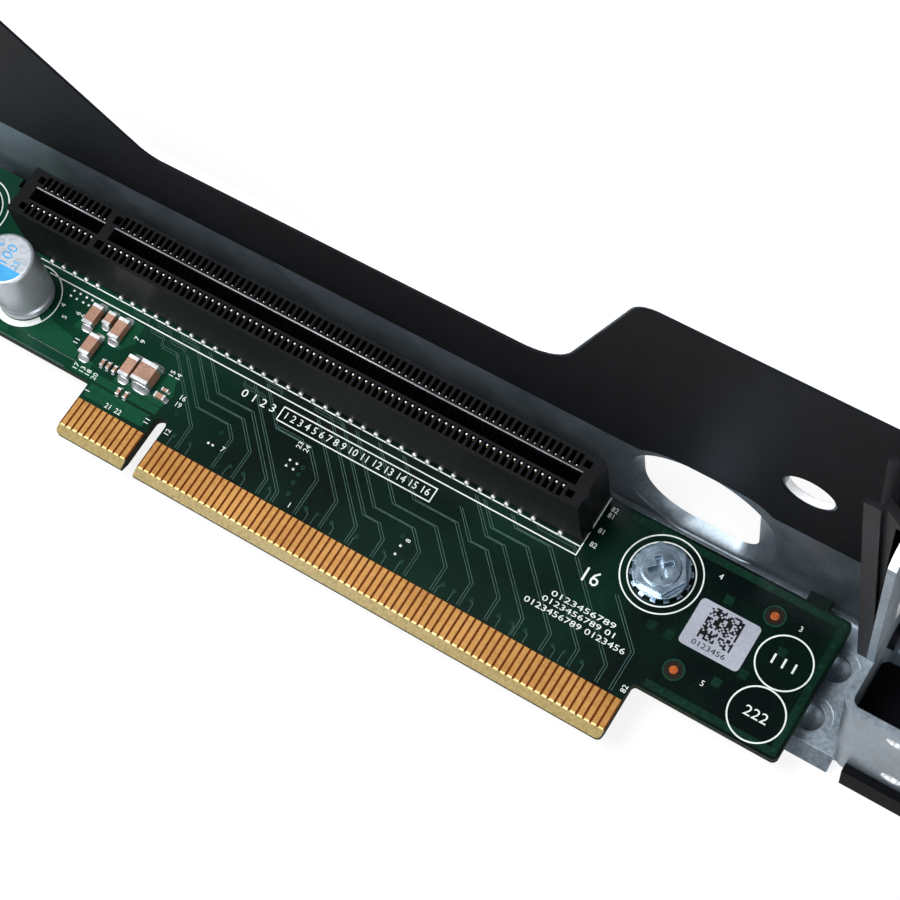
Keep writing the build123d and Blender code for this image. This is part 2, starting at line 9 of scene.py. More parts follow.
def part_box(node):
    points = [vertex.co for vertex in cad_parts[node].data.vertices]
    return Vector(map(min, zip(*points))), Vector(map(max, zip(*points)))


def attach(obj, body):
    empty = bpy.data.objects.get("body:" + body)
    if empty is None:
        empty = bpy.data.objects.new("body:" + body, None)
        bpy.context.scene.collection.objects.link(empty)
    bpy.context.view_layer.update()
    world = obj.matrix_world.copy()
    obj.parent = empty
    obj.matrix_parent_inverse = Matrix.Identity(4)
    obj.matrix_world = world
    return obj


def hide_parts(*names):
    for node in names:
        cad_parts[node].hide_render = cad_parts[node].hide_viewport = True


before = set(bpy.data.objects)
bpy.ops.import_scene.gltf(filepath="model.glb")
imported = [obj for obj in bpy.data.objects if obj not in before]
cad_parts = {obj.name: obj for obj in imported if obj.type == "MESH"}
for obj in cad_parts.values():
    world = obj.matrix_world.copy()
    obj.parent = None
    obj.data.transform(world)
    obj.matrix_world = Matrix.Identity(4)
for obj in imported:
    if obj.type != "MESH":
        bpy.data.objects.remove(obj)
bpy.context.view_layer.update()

MM = 0.001
LABEL_SEED = 16
random.seed(LABEL_SEED)

# The board's own corner is the zero of every place below: X from the first gold finger, Y from
# the finger tips, Z from the face that carries the slot, all in millimetres.
BOARD_BEFORE_FINGERS = 40.0
board_low, board_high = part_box("circuit_board")
ZERO = Vector((board_low.x + BOARD_BEFORE_FINGERS * MM, board_low.y, board_high.z))


def span(node_name):
    """Lowest and highest corners of a CAD node in board millimetres."""
    low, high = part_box(node_name)
    return (low - ZERO) / MM, (high - ZERO) / MM


def at(x, y, z=0.0):
    """A place in board millimetres as metres in the frame."""
    return ZERO + Vector((x, y, z)) * MM


BOARD_RIGHT = span("circuit_board")[1].x
HOUSING_LOW, HOUSING_HIGH = span("slot_housing")
# The board's shoulder beside the finger tongue, and its far edge.
SHOULDER = 8.2
BOARD_TOP = 28.1
# Faces of the folded sheet: the wall below the board, the upright plate and the front flange.
WALL_FACE = -4.07
PLATE_FACE = 30.0
FLANGE_FACE = 12.4
SHEET = 1.0
# Fingers and contacts stand 1 mm apart, and the key takes two of their places.
LAST_PLACE = 83
KEY_PLACES = (11, 12)
CONTACT_STEPS = [n for n in range(LAST_PLACE + 1) if n not in KEY_PLACES]


def in_scene(name, data):
    """A new object of the scene."""
    thing = bpy.data.objects.new(name, data)
    bpy.context.scene.collection.objects.link(thing)
    return thing


# Camera and light

CAMERA_PLACE = (127.41, -53.46, 237.93)
CAMERA_RIGHT = Vector((0.84145, 0.52862, -0.11192))
CAMERA_BACK = Vector((0.30479, -0.29330, 0.90613))
SENSOR_WIDTH = 36.0
FOCAL_LENGTH = 81.16
NEAREST_SEEN = 0.01

# Lamps: name, place and size in metres, and power in watts. They shine on the card's middle.
LAMPS = (("key", (-0.25, -0.15, 0.75), 0.4, 8.0), ("fill", (0.6, -0.4, 0.5), 0.5, 3.0))
LAMP_AIM = Vector((0, 0, 0.02))


def set_camera():
    """The camera above the right end of the card, looking down along it."""
    data = bpy.data.cameras.new("camera")
    data.sensor_width = SENSOR_WIDTH
    data.lens = FOCAL_LENGTH
    data.clip_start = NEAREST_SEEN
    camera = in_scene("camera", data)
    back = CAMERA_BACK.normalized()
    up = back.cross(CAMERA_RIGHT).normalized()
    right = up.cross(back)
    turn = Matrix((right, up, back)).transposed().to_4x4()
    camera.matrix_world = Matrix.Translation(at(*CAMERA_PLACE)) @ turn
    bpy.context.scene.camera = camera


def add_lamp(name, place, size, power):
    """A square soft lamp."""
    data = bpy.data.lights.new(name, "AREA")
    data.shape = "SQUARE"
    data.size = size
    data.energy = power
    lamp = in_scene(name, data)
    lamp.location = place
    lamp.rotation_euler = (LAMP_AIM - Vector(place)).to_track_quat("-Z", "Y").to_euler()


# Material tools


def colour(code):
    """An sRGB hex colour as linear red, green, blue and alpha."""
    values = [int(code[n : n + 2], 16) / 255 for n in (1, 3, 5)]
    return (*(v / 12.92 if v <= 0.04045 else ((v + 0.055) / 1.055) ** 2.4 for v in values), 1.0)


def add(tree, kind, links=(), stops=(), **settings):
    """One shader node with its settings, its links (input, output or value) and ramp stops."""
    node = tree.nodes.new("ShaderNode" + kind)
    for name, value in settings.items():
        setattr(node, name, value)
    for socket, source in links:
        if isinstance(source, bpy.types.NodeSocket):
            tree.links.new(source, node.inputs[socket])
        else:
            node.inputs[socket].default_value = source
    for element, (position, code) in zip(node.color_ramp.elements if stops else (), stops):
        element.position = position
        element.color = colour(code)
    return node


def new_material(name, **shader):
    """A material with a principled shader, and its tree and object coordinates."""
    material = bpy.data.materials.new(name)
    material.use_nodes = True
    tree = material.node_tree
    principled = tree.nodes["Principled BSDF"]
    for socket, value in shader.items():
        principled.inputs[socket.replace("_", " ")].default_value = value
    return material, tree, principled, add(tree, "TexCoord").outputs["Object"]


def feed(tree, principled, **sources):
    """Links outputs to the shader's own sockets."""
    for socket, source in sources.items():
        tree.links.new(source, principled.inputs[socket.replace("_", " ")])


def per_mm(size):
    """Texture scale that gives features of this many millimetres."""
    return 1 / (size * MM)


# The part of a noise, and of two noises added up, that runs from dark to light.
NOISE_RANGE = ((1, 0.3), (2, 0.7))
SUM_RANGE = ((1, 0.75), (2, 1.25))
# How far gloss swings with the grain, and how much broader the clouds in the colour are.
GLOSS_SWING = 0.05
CLOUD_SHARE = 16
RELIEF_STRENGTH = 0.6
BEVEL_SAMPLES = 4


def grained(name, dark, light, grain, rough, depth, bevel=0.02, **shader):
    """A surface with one fine grain in its colour, gloss and relief. Grain, depth of relief and
    rounding of the edges are in millimetres."""
    material, tree, principled, place = new_material(name, **shader)
    fine, broad = (
        add(tree, "TexNoise", [("Vector", place), ("Scale", per_mm(size)), ("Detail", detail)])
        for size, detail in ((grain, 3.0), (grain * CLOUD_SHARE, 2.0))
    )
    both = add(tree, "Math", [(0, fine.outputs["Fac"]), (1, broad.outputs["Fac"])], operation="ADD")
    shade = add(tree, "MapRange", [(0, both.outputs[0]), *SUM_RANGE])
    tone = add(tree, "ValToRGB", [("Fac", shade.outputs[0])], stops=((0.0, dark), (1.0, light)))
    swing = [(3, rough - GLOSS_SWING), (4, rough + GLOSS_SWING)]
    gloss = add(tree, "MapRange", [(0, fine.outputs["Fac"]), *NOISE_RANGE, *swing])
    edge = add(tree, "Bevel", [("Radius", bevel * MM)], samples=BEVEL_SAMPLES)
    heights = [("Height", fine.outputs["Fac"]), ("Normal", edge.outputs["Normal"])]
    relief = add(
        tree, "Bump", [("Distance", depth * MM), ("Strength", RELIEF_STRENGTH), *heights]
    )
    feed(tree, principled, Base_Color=tone.outputs["Color"], Roughness=gloss.outputs[0])
    feed(tree, principled, Normal=relief.outputs["Normal"])
    return material


# Millimetres across the zinc crystals, their fine frosting, which is drawn coarser than it is
# so that it shows, and the clouds of the coating.
SPANGLE = 3.2
FROSTING = 0.5
ZINC_CLOUDS = 7.0
# The crystals' share beside the frosting, and the part of the mix that runs dark to light.
SPANGLE_SHARE = 0.3
ZINC_MIX = ((1, 0.8), (2, 1.5))
ZINC_GLOSS = ((3, 0.34), (4, 0.46))
ZINC_METAL = 0.8
FROST_DEPTH = 0.02
FROST_STRENGTH = 0.35
FOLD_ROUNDING = 0.15
# A face of the sheet that looks up at this height is its sheared edge.
CUT_EDGE_ABOVE = 20.0
LOOKS_UP = 0.3


def galvanised_steel():
    """Hot-dip galvanised sheet: blue-grey and satin, with faint broad spangle. Its sheared top
    edges are bare and paler, and are painted plain white and unmetallic as a painted highlight that
    melts them into the white surround."""
    material, tree, principled, place = new_material("galvanised_steel")
    crystal = add(tree, "TexVoronoi", [("Vector", place), ("Scale", per_mm(SPANGLE))])
    crystal_shade = add(tree, "RGBToBW", [("Color", crystal.outputs["Color"])])
    fine, cloud = (
        add(tree, "TexNoise", [("Vector", place), ("Scale", per_mm(size)), ("Detail", detail)])
        for size, detail in ((FROSTING, 4.0), (ZINC_CLOUDS, 2.0))
    )
    links = [(0, crystal_shade.outputs[0]), (1, SPANGLE_SHARE), (2, fine.outputs["Fac"])]
    both = add(tree, "Math", links, operation="MULTIPLY_ADD")
    mixed = add(tree, "Math", [(0, both.outputs[0]), (1, cloud.outputs["Fac"])], operation="ADD")
    shade = add(tree, "MapRange", [(0, mixed.outputs[0]), *ZINC_MIX])
    greys = ((0.0, "#69757e"), (1.0, "#8f9aa3"))
    tone = add(tree, "ValToRGB", [("Fac", shade.outputs[0])], stops=greys)

    axes = add(tree, "SeparateXYZ", [("Vector", place)])
    normal = add(tree, "SeparateXYZ", [("Vector", add(tree, "NewGeometry").outputs["Normal"])])
    high, upward = (
        add(tree, "Math", [(0, part.outputs["Z"]), (1, least)], operation="GREATER_THAN")
        for part, least in ((axes, at(0, 0, CUT_EDGE_ABOVE).z), (normal, LOOKS_UP))
    )
    # Painted highlight: the sheet's upward top edges get plain white in place of the zinc colour,
    # and lose their metal.
    white_edge_mask = add(tree, "Math", [(0, high.outputs[0]), (1, upward.outputs[0])], operation="MULTIPLY")
    links = [("Fac", white_edge_mask.outputs[0]), ("Color1", tone.outputs["Color"])]
    painted_white_edge = add(tree, "MixRGB", [*links, ("Color2", colour("#ffffff"))])
    links = [(0, ZINC_METAL), (1, white_edge_mask.outputs[0])]
    metal = add(tree, "Math", links, operation="SUBTRACT", use_clamp=True)

    gloss = add(tree, "MapRange", [(0, mixed.outputs[0]), *ZINC_MIX, *ZINC_GLOSS])
    edge = add(tree, "Bevel", [("Radius", FOLD_ROUNDING * MM)], samples=BEVEL_SAMPLES)
    heights = [("Height", fine.outputs["Fac"]), ("Normal", edge.outputs["Normal"])]
    depth = [("Distance", FROST_DEPTH * MM), ("Strength", FROST_STRENGTH)]
    relief = add(tree, "Bump", [*depth, *heights])
    feed(tree, principled, Base_Color=painted_white_edge.outputs[0], Metallic=metal.outputs[0])
    feed(tree, principled, Roughness=gloss.outputs[0], Normal=relief.outputs["Normal"])
    return material


# Millimetres across a bundle of the glass weave and across the clouds in the mask.
GLASS_WEAVE = 0.45
MASK_CLOUDS = 11.0
# Along X the mask runs from greener to darker between these two places.
GREEN_END = (-14, 24)
# Shares of the run, the weave and the clouds in the mask's colour, and the part of their sum
# that runs from dark to light.
RUN_SHARE = 0.5
WEAVE_SHARE = 0.15
MASK_CLOUD_SHARE = 0.55
MASK_MIX = ((1, 0.25), (2, 0.95))
WEAVE_DEPTH = 0.01
WEAVE_STRENGTH = 0.5
# Heights where the bevelled tip gives way to the flat face, and that to the mask.
TIP_LINE = 1.28
MASK_LINE = 5.63
MASK_GLOSS = 0.2
SAWN_GLOSS = 0.85


def masked_laminate():
    """Glass-epoxy board: dark green solder mask on its faces, brown laminate between the gold
    fingers, pale tan at the bevelled tip and a dull green sawn edge."""
    material, tree, principled, place = new_material("masked_laminate", Specular_IOR_Level=0.1)
    axes = add(tree, "SeparateXYZ", [("Vector", place)])
    weave, cloud = (
        add(tree, "TexNoise", [("Vector", place), ("Scale", per_mm(size)), ("Detail", detail)])
        for size, detail in ((GLASS_WEAVE, 2.0), (MASK_CLOUDS, 1.0))
    )
    left, right = (at(x, 0).x for x in GREEN_END)
    links = [(0, axes.outputs["X"]), (1, left), (2, right), (3, RUN_SHARE), (4, 0.0)]
    run = add(tree, "MapRange", links, interpolation_type="SMOOTHSTEP")
    links = [(0, weave.outputs["Fac"]), (1, WEAVE_SHARE), (2, run.outputs[0])]
    grain = add(tree, "Math", links, operation="MULTIPLY_ADD")
    links = [(0, cloud.outputs["Fac"]), (1, MASK_CLOUD_SHARE), (2, grain.outputs[0])]
    both = add(tree, "Math", links, operation="MULTIPLY_ADD")
    shade = add(tree, "MapRange", [(0, both.outputs[0]), *MASK_MIX])
    greens = ((0.0, "#020a09"), (1.0, "#083625"))
    mask = add(tree, "ValToRGB", [("Fac", shade.outputs[0])], stops=greens)
    between, tip, sawn = (
        add(tree, "ValToRGB", [("Fac", weave.outputs["Fac"])], stops=((0.3, dark), (0.7, light)))
        for dark, light in (("#4c1f00", "#652e04"), ("#85754a", "#9e8c5c"), ("#0f1a11", "#283122"))
    )

    past_tip, past_line = (
        add(tree, "Math", [(0, axes.outputs["Y"]), (1, at(0, line).y)], operation="GREATER_THAN")
        for line in (TIP_LINE, MASK_LINE)
    )
    normal = add(tree, "SeparateXYZ", [("Vector", add(tree, "NewGeometry").outputs["Normal"])])
    flat = add(tree, "Math", [(0, normal.outputs["Z"])], operation="ABSOLUTE")
    is_edge = add(tree, "MapRange", [(0, flat.outputs[0]), (1, 0.3), (2, 0.6), (3, 1.0), (4, 0.0)])
    surface = tip
    for share, finish in ((past_tip, between), (past_line, mask), (is_edge, sawn)):
        links = [("Fac", share.outputs[0]), ("Color1", surface.outputs[0])]
        surface = add(tree, "MixRGB", [*links, ("Color2", finish.outputs[0])])

    depth = [("Distance", WEAVE_DEPTH * MM), ("Strength", WEAVE_STRENGTH)]
    relief = add(tree, "Bump", [("Height", weave.outputs["Fac"]), *depth])
    links = [(0, is_edge.outputs[0]), (1, 0.0), (2, 1.0), (3, MASK_GLOSS), (4, SAWN_GLOSS)]
    gloss = add(tree, "MapRange", links)
    feed(tree, principled, Base_Color=surface.outputs[0], Roughness=gloss.outputs[0])
    feed(tree, principled, Normal=relief.outputs["Normal"])
    return material


# Mesh tools


def place_piece(mesh, name, material, smooth=False):
    """Turns a mesh into a piece that rides on the object."""
    data = bpy.data.meshes.new(name)
    mesh.to_mesh(data)
    mesh.free()
    data.materials.append(material)
    for face in data.polygons:
        face.use_smooth = smooth
    piece = in_scene(name, data)
    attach(piece, "root")
    return piece


def oval(x, y, half_x, half_y, steps):
    """Places round an oval, anticlockwise from its right."""
    turns = [2 * pi * n / steps for n in range(steps)]
    return [(x + half_x * cos(t), y + half_y * sin(t)) for t in turns]


def bridge(mesh, loops):
    """Faces between closed loops that follow each other."""
    for outer, inner in zip(loops, loops[1:]):
        for n in range(len(outer)):
            after = (n + 1) % len(outer)
            mesh.faces.new((outer[n], outer[after], inner[after], inner[n]))


def close_solid(mesh, loops):
    """A solid through closed loops, with a flat face at both ends."""
    bridge(mesh, loops)
    mesh.faces.new(loops[0][::-1])
    mesh.faces.new(loops[-1])


# Height of a numeral as a share of the size of its letters.
NUMERAL_SHARE = 0.70
SHARPEST_MITRE = 0.4


class Layer:
    """Collects flat shapes of one thickness on the board or on another level face."""

    def __init__(self, low, high):
        self.mesh = bmesh.new()
        self.low = low
        self.high = high

    def prism(self, corners):
        """A closed prism over a polygon given anticlockwise in board millimetres."""
        low, high = (
            [self.mesh.verts.new(at(x, y, z)) for x, y in corners] for z in (self.low, self.high)
        )
        self.mesh.faces.new(high)
        self.mesh.faces.new(low[::-1])
        bridge(self.mesh, [low, high])

    def area(self, left, right, low, high):
        """A rectangle."""
        self.prism([(left, low), (right, low), (right, high), (left, high)])

    def line(self, points, width):
        """A ribbon along a path, mitred at its corners."""
        half = width / 2
        path = [Vector(point) for point in points]
        sides = []
        for n, point in enumerate(path):
            before = (point - path[n - 1]).normalized() if n else (path[1] - point).normalized()
            after = (path[n + 1] - point).normalized() if n + 1 < len(path) else before
            across = Vector((-(before + after).y, (before + after).x)).normalized()
            reach = half / max(SHARPEST_MITRE, across.dot(Vector((-before.y, before.x))))
            sides.append((point + across * reach, point - across * reach))
        for (left, right), (next_left, next_right) in zip(sides, sides[1:]):
            self.prism([tuple(right), tuple(next_right), tuple(next_left), tuple(left)])

    def outline(self, left, right, low, high, width):
        """The outline of a rectangle."""
        self.line([(left, low), (right, low), (right, high), (left, high), (left, low)], width)

    def ring(self, x, y, radius, width, start=0.0, sweep=360.0, steps=48):
        """A circle or arc drawn with a line."""
        first = radians(start)
        turn = radians(sweep) / steps
        turns = [first + n * turn for n in range(steps + 1)]
        self.line([(x + radius * cos(t), y + radius * sin(t)) for t in turns], width)

    def numbers(self, text, x, y, height, turn=0.0, width=None):
        """Plain numerals centred on a place, turned by degrees and fitted to a width."""
        curve = bpy.data.curves.new("numerals", "FONT")
        curve.body = text
        curve.size = height / NUMERAL_SHARE * MM
        curve.align_x = "CENTER"
        curve.align_y = "CENTER"
        curve.resolution_u = 2
        curve.extrude = (self.high - self.low) / 2 * MM
        holder = in_scene("numerals", curve)
        bpy.context.view_layer.update()
        shape = bpy.data.meshes.new_from_object(
            holder.evaluated_get(bpy.context.evaluated_depsgraph_get())
        )
        reach = max(abs(vertex.co.x) for vertex in shape.vertices) * 2
        stretch = width * MM / reach if width else 1.0
        placing = Matrix.Translation(at(x, y, (self.low + self.high) / 2))
        placing @= Matrix.Rotation(radians(turn), 4, "Z") @ Matrix.Scale(stretch, 4, (1, 0, 0))
        shape.transform(placing)
        self.mesh.from_mesh(shape)
        bpy.data.objects.remove(holder)

    def finish(self, name, material, slot):
        """The gathered shapes as one piece of the object."""
        return place_piece(self.mesh, name, material)


# A solder fillet: the hollow of its slope, the taper of its toe, its crown in millimetres and
# the fall of its sides.
SLOPE_HOLLOW = 2.2
TOE_TAPER = 0.75
CROWN = 0.10
SIDE_FALL = 0.35


class Mounds:
    """Collects small rounded heaps, such as solder or coined tips, into one smooth piece."""

    def __init__(self):
        self.mesh = bmesh.new()

    def heap(self, x, y, z, half_x, half_y, height, steps=10, rings=4):
        """Half of an ellipsoid that stands on a level place."""
        rows = []
        for ring in range(rings):
            tilt = pi / 2 * ring / rings
            out, up = cos(tilt), sin(tilt)
            places = oval(x, y, half_x * out, half_y * out, steps)
            rows.append([self.mesh.verts.new(at(px, py, z + height * up)) for px, py in places])
        peak = self.mesh.verts.new(at(x, y, z + height))
        bridge(self.mesh, rows)
        for n in range(steps):
            self.mesh.faces.new((rows[-1][n], rows[-1][(n + 1) % steps], peak))
        self.mesh.faces.new(rows[0][::-1])

    def fillet(self, x, y, turn, half_width, reach, height, steps=8, rows=6):
        """Solder drawn up the end of a chip: a hollow slope that narrows towards its toe. It
        runs away from the chip along X before it is turned."""
        placing = Matrix.Translation(at(x, y)) @ Matrix.Rotation(turn, 4, "Z")
        grid = []
        for row in range(rows + 1):
            away = row / rows
            level = height * (1 - away) ** SLOPE_HOLLOW
            half = half_width * sqrt(max(0.0, 1 - TOE_TAPER * away**3))
            line = []
            for n in range(steps + 1):
                across = 2 * n / steps - 1
                crown = (1 - abs(across) ** 4) * CROWN * (1 - away)
                rise = level * (1 - SIDE_FALL * across**4) + crown
                spot = Vector((reach * away, half * across, rise))
                line.append(self.mesh.verts.new(placing @ (spot * MM)))
            grid.append(line)
        for near, far in zip(grid, grid[1:]):
            for n in range(steps):
                self.mesh.faces.new((near[n], far[n], far[n + 1], near[n + 1]))
        foot = [
            [self.mesh.verts.new(Vector((v.co.x, v.co.y, ZERO.z))) for v in line] for line in grid
        ]
        for (near, far), (near_foot, far_foot) in zip(zip(grid, grid[1:]), zip(foot, foot[1:])):
            for n in (0, steps):
                corners = (near[n], far[n], far_foot[n], near_foot[n])
                self.mesh.faces.new(corners if n else corners[::-1])
        for n in range(steps):
            self.mesh.faces.new((grid[0][n], grid[0][n + 1], foot[0][n + 1], foot[0][n]))

    def finish(self, name, material, slot):
        """The heaps as one smooth piece of the object."""
        bmesh.ops.recalc_face_normals(self.mesh, faces=self.mesh.faces)
        return place_piece(self.mesh, name, material, smooth=True)


# Copper below the mask

POUR_TOP = 0.012
COPPER_TOP = 0.024
VIA_TOP = COPPER_TOP + 0.004
TRACE_WIDTH = 0.09
WIDE_TRACE = 0.16
PAIR_GAP = 0.36
TRACE_FOOT = 6.0
TRACE_TOP = 19.9
# A trace bends later by this share of its shift, which keeps the two of a pair parallel.
BEND_SHARE = 0.41

# Each pair of traces: its foot, the height where it turns, the height of its level run, the
# length of that run and the height where it ends.
PAIRS = [
    (81.5, 11.6, 17.1, 0.0, 17.1), (79.5, 8.55, 18.9, 0.0, 18.9),
    (75.5, 8.55, 18.5, 5.0, TRACE_TOP), (71.5, 8.55, 17.0, 5.2, TRACE_TOP),
    (67.5, 8.55, 15.7, 2.5, TRACE_TOP), (63.5, 9.4, 14.1, 2.5, 17.5),
    (59.5, 9.4, 15.4, 6.4, TRACE_TOP), (55.5, 9.6, 13.6, 6.4, TRACE_TOP),
    (51.5, 9.6, 12.0, 6.0, TRACE_TOP), (46.5, 8.75, 10.4, 2.3, TRACE_TOP),
    (42.5, 8.55, 12.0, 0.0, TRACE_TOP), (38.4, 10.2, 12.0, 0.0, 18.8),
    (34.5, 11.5, 15.0, 5.2, TRACE_TOP), (30.9, 7.5, 9.0, 0.0, 18.8),
    (28.6, 8.3, 15.4, 5.6, TRACE_TOP), (24.5, 10.4, 13.9, 5.8, TRACE_TOP),
    (21.3, 10.8, 12.3, 5.2, 18.0), (15.5, 9.6, 11.0, 0.0, 17.5),
]
# Short level runs of a pair: left end, right end and height. Each slopes away at both ends.
SHORT_RUNS = [
    (-1.2, 0.9, 19.95), (2.9, 4.8, 19.8), (7.0, 9.0, 19.8), (2.6, 4.4, 18.6),
    (5.9, 8.0, 18.6), (5.2, 7.6, 17.4), (20.9, 23.1, 19.9), (28.8, 33.0, 19.8),
    (18.5, 21.6, 18.05), (25.7, 29.7, 15.2), (63.0, 68.2, 20.0),
]
RUN_SLOPE = 0.5
RUN_WIDTH = TRACE_WIDTH * 0.8
WIDE_RUNS = ((-18.0, -5.0, 8.35), (-12.5, -4.0, 9.8))
# Vias beside the fingers, each with a stub of trace to its finger, and loose ones.
VIA_RADIUS = 0.3
VIA_RING = VIA_RADIUS * 0.75
VIA_LINE = VIA_RADIUS * 0.5
FINGER_VIA_HEIGHT = 7.4
STUB_SHIFT = 0.1
STUB_FOOT = TRACE_FOOT - 0.2
FINGER_VIAS = (
    14.3, 16.8, 23.4, 25.5, 29.7, 35.5, 37.2, 39.5, 43.4, 47.6,
    50.3, 56.5, 58.2, 60.7, 64.7, 66.75, 68.6, 72.6, 74.25, 76.75,
)
LOOSE_VIAS = [
    (19.6, 10.8), (31.9, 12.0), (31.95, 10.9), (31.95, 9.6), (12.7, 10.2), (48.5, 10.4), (32.3, 8.0)
]
# Copper areas below the mask on the left part of the board: rectangles and other outlines.
POUR_AREAS = (
    (-39.5, -15.5, 8.7, 9.5), (-4.2, 10.2, 8.6, 9.7), (-4.2, -1.7, 9.8, 10.7),
    (-0.2, 9.6, 6.2, 8.2), (-39.5, -37.2, 17.2, 27.6), (-27.0, -21.0, 24.6, 27.7),
)
POUR_OUTLINES = (
    [(-39.5, 10), (-4.5, 10), (-4.5, 11), (-6.9, 12.6), (-10.5, 13.2), (-12.2, 14.6),
     (-39.5, 16.5)],
    [(2.2, 9.8), (10.2, 9.8), (10.8, 12.0), (9.8, 14.4), (2.2, 14.9)],
    [(-7.6, 14.0), (0.2, 14.0), (1.6, 16.0), (1.2, 18.7), (-7.0, 18.7)],
)
PALE_SQUARES = [
    (81.75, 15.8), (84.25, 15.8), (94.5, 15.8), (88.4, 23.3), (97.2, 20.6), (92.2, 13.3),
]
PALE_HALF = 0.6
# The band round the right end of the board: its inset and width, and where its two level parts
# begin. Its vias stand in its middle, 3 mm apart.
BORDER_INSET = 0.35
BORDER_BAND = 1.0
BORDER_HEAD_START = 72.5
BORDER_FOOT_START = 84.6
BORDER_VIA_INSET = 0.85
BORDER_VIA_STEP = 3.0
BORDER_VIA_FIRST = 1.1
BORDER_VIA_RING = (0.16, 0.12)
BORDER_FOOT_VIAS = range(87, 101, 3)
BORDER_HEAD_VIAS = range(74, 101, 3)
BORDER_VIA_COUNT = int((BOARD_TOP - SHOULDER) / BORDER_VIA_STEP) + 1
# The two optical marks, the copper ring round each and the bare window inside it, as the radius
# and width of a line.
FIDUCIALS = ((94.25, 24.25), (86.95, 12.1))
MARK_RING = (1.32, 0.22)
MARK_WINDOW = (0.88, 0.62)


def pair_path(foot, turn, level, run, end, shift):
    """One trace of a pair: up from a finger, left at 45 degrees, level, and left again."""
    x = foot + shift
    slant = level - turn
    low, high = turn + shift * BEND_SHARE, level + shift * BEND_SHARE
    points = [(x, TRACE_FOOT), (x, low), (x - slant, high)]
    if run:
        points.append((x - slant - run, high))
    if end > level:
        last = points[-1]
        points.append((last[0] - (end - level), end))
    return points


def add_covered_copper(trace_finish, pour_finish, border_finish, via_finish):
    """Traces, vias, areas and the border band, which show through the mask as paler green."""
    pours = Layer(0.0, POUR_TOP)
    for edges in POUR_AREAS:
        pours.area(*edges)
    for corners in POUR_OUTLINES:
        pours.prism(corners)
    pours.finish("covered_pours", pour_finish, "board_laminate")

    border = Layer(0.0, POUR_TOP)
    right, low, high = BOARD_RIGHT - BORDER_INSET, SHOULDER + BORDER_INSET, BOARD_TOP - BORDER_INSET
    border.area(right - BORDER_BAND, right, low, high)
    border.area(BORDER_HEAD_START, right - BORDER_BAND, high - BORDER_BAND, high)
    border.area(BORDER_FOOT_START, right - BORDER_BAND, low, low + BORDER_BAND)
    for x, y in PALE_SQUARES:
        border.area(x - PALE_HALF, x + PALE_HALF, y - PALE_HALF, y + PALE_HALF)
    border.finish("covered_border", border_finish, "board_laminate")

    traces = Layer(0.0, COPPER_TOP)
    for shift in (-PAIR_GAP / 2, PAIR_GAP / 2):
        for pair in PAIRS:
            traces.line(pair_path(*pair, shift), TRACE_WIDTH)
        for start, end, y in SHORT_RUNS:
            path = [(start - RUN_SLOPE, y + RUN_SLOPE), (start, y)]
            path += [(end, y), (end + RUN_SLOPE, y - RUN_SLOPE)]
            traces.line([(px, py + shift) for px, py in path], RUN_WIDTH)
    for x in FINGER_VIAS:
        finger = round(x)
        foot = finger + STUB_SHIFT
        turn = FINGER_VIA_HEIGHT - abs(finger - x)
        traces.line([(x, FINGER_VIA_HEIGHT), (foot, turn), (foot, STUB_FOOT)], TRACE_WIDTH)
    for start, end, y in WIDE_RUNS:
        traces.line([(start, y), (end, y)], WIDE_TRACE)
    traces.finish("covered_traces", trace_finish, "board_laminate")

    vias = Layer(0.0, VIA_TOP)
    for x, y in [(x, FINGER_VIA_HEIGHT) for x in FINGER_VIAS] + LOOSE_VIAS:
        vias.ring(x, y, VIA_RING, VIA_LINE, steps=14)
    side = BOARD_RIGHT - BORDER_VIA_INSET
    first = SHOULDER + BORDER_VIA_FIRST
    band = [(side, first + n * BORDER_VIA_STEP) for n in range(BORDER_VIA_COUNT)]
    band += [(x, SHOULDER + BORDER_VIA_INSET) for x in BORDER_FOOT_VIAS]
    band += [(x, BOARD_TOP - BORDER_VIA_INSET) for x in BORDER_HEAD_VIAS]
    for x, y in band:
        vias.ring(x, y, *BORDER_VIA_RING, steps=10)
    for x, y in FIDUCIALS:
        vias.ring(x, y, *MARK_RING, steps=28)
    vias.finish("covered_vias", via_finish, "board_laminate")


def add_bare_laminate(laminate_finish):
    """The unmasked dark windows round the two optical marks."""
    windows = Layer(0.0, POUR_TOP)
    for x, y in FIDUCIALS:
        windows.ring(x, y, *MARK_WINDOW, steps=28)
    windows.finish("mask_windows", laminate_finish, "board_laminate")


# Painted highlight: the pale dash at each finger's end, its height and reach.
FINGER_END_TOP = 0.056
FINGER_END_HALF = 0.33
FINGER_END_REACH = (1.2, 1.44)


def add_finger_ends(finger_glint_gold):
    """The bevelled ends of the gold fingers: a pale dash at each, a painted highlight where the
    bevel catches the light.
    """
    ends = Layer(0.0, FINGER_END_TOP)
    for n in CONTACT_STEPS:
        ends.area(n - FINGER_END_HALF, n + FINGER_END_HALF, *FINGER_END_REACH)
    ends.finish("finger_end_glints", finger_glint_gold, "gold_plate")


# Printed ink and bare pads on the board

INK_TOP = 0.04
LINE = 0.16
SCREWS = ((79.54, 22.16), (-31.7, 22.16))
STAMPS = ((98.07, 19.49), (98.25, 12.16))
CAPACITOR = (-16.2, 14.75)
SLOT_LINES = (
    [(-18.0, 20.35), (68.95, 20.35)],
    [(-15.5, 19.1), (68.95, 19.1), (68.95, 28.0)],
)
NUMBER_BOX = (24.9, 48.9, 16.05, 18.1)
# Rings as the radius and width of a line, and the half rings of the capacitor with the degree
# where they start and their steps.
SCREW_RINGS = ((5.25, 0.18), (4.3, 0.18))
STAMP_RING = (3.55, 0.2)
CAPACITOR_HALVES = ((4.9, 0.16, -29, 32), (4.5, 0.92, 151, 40))
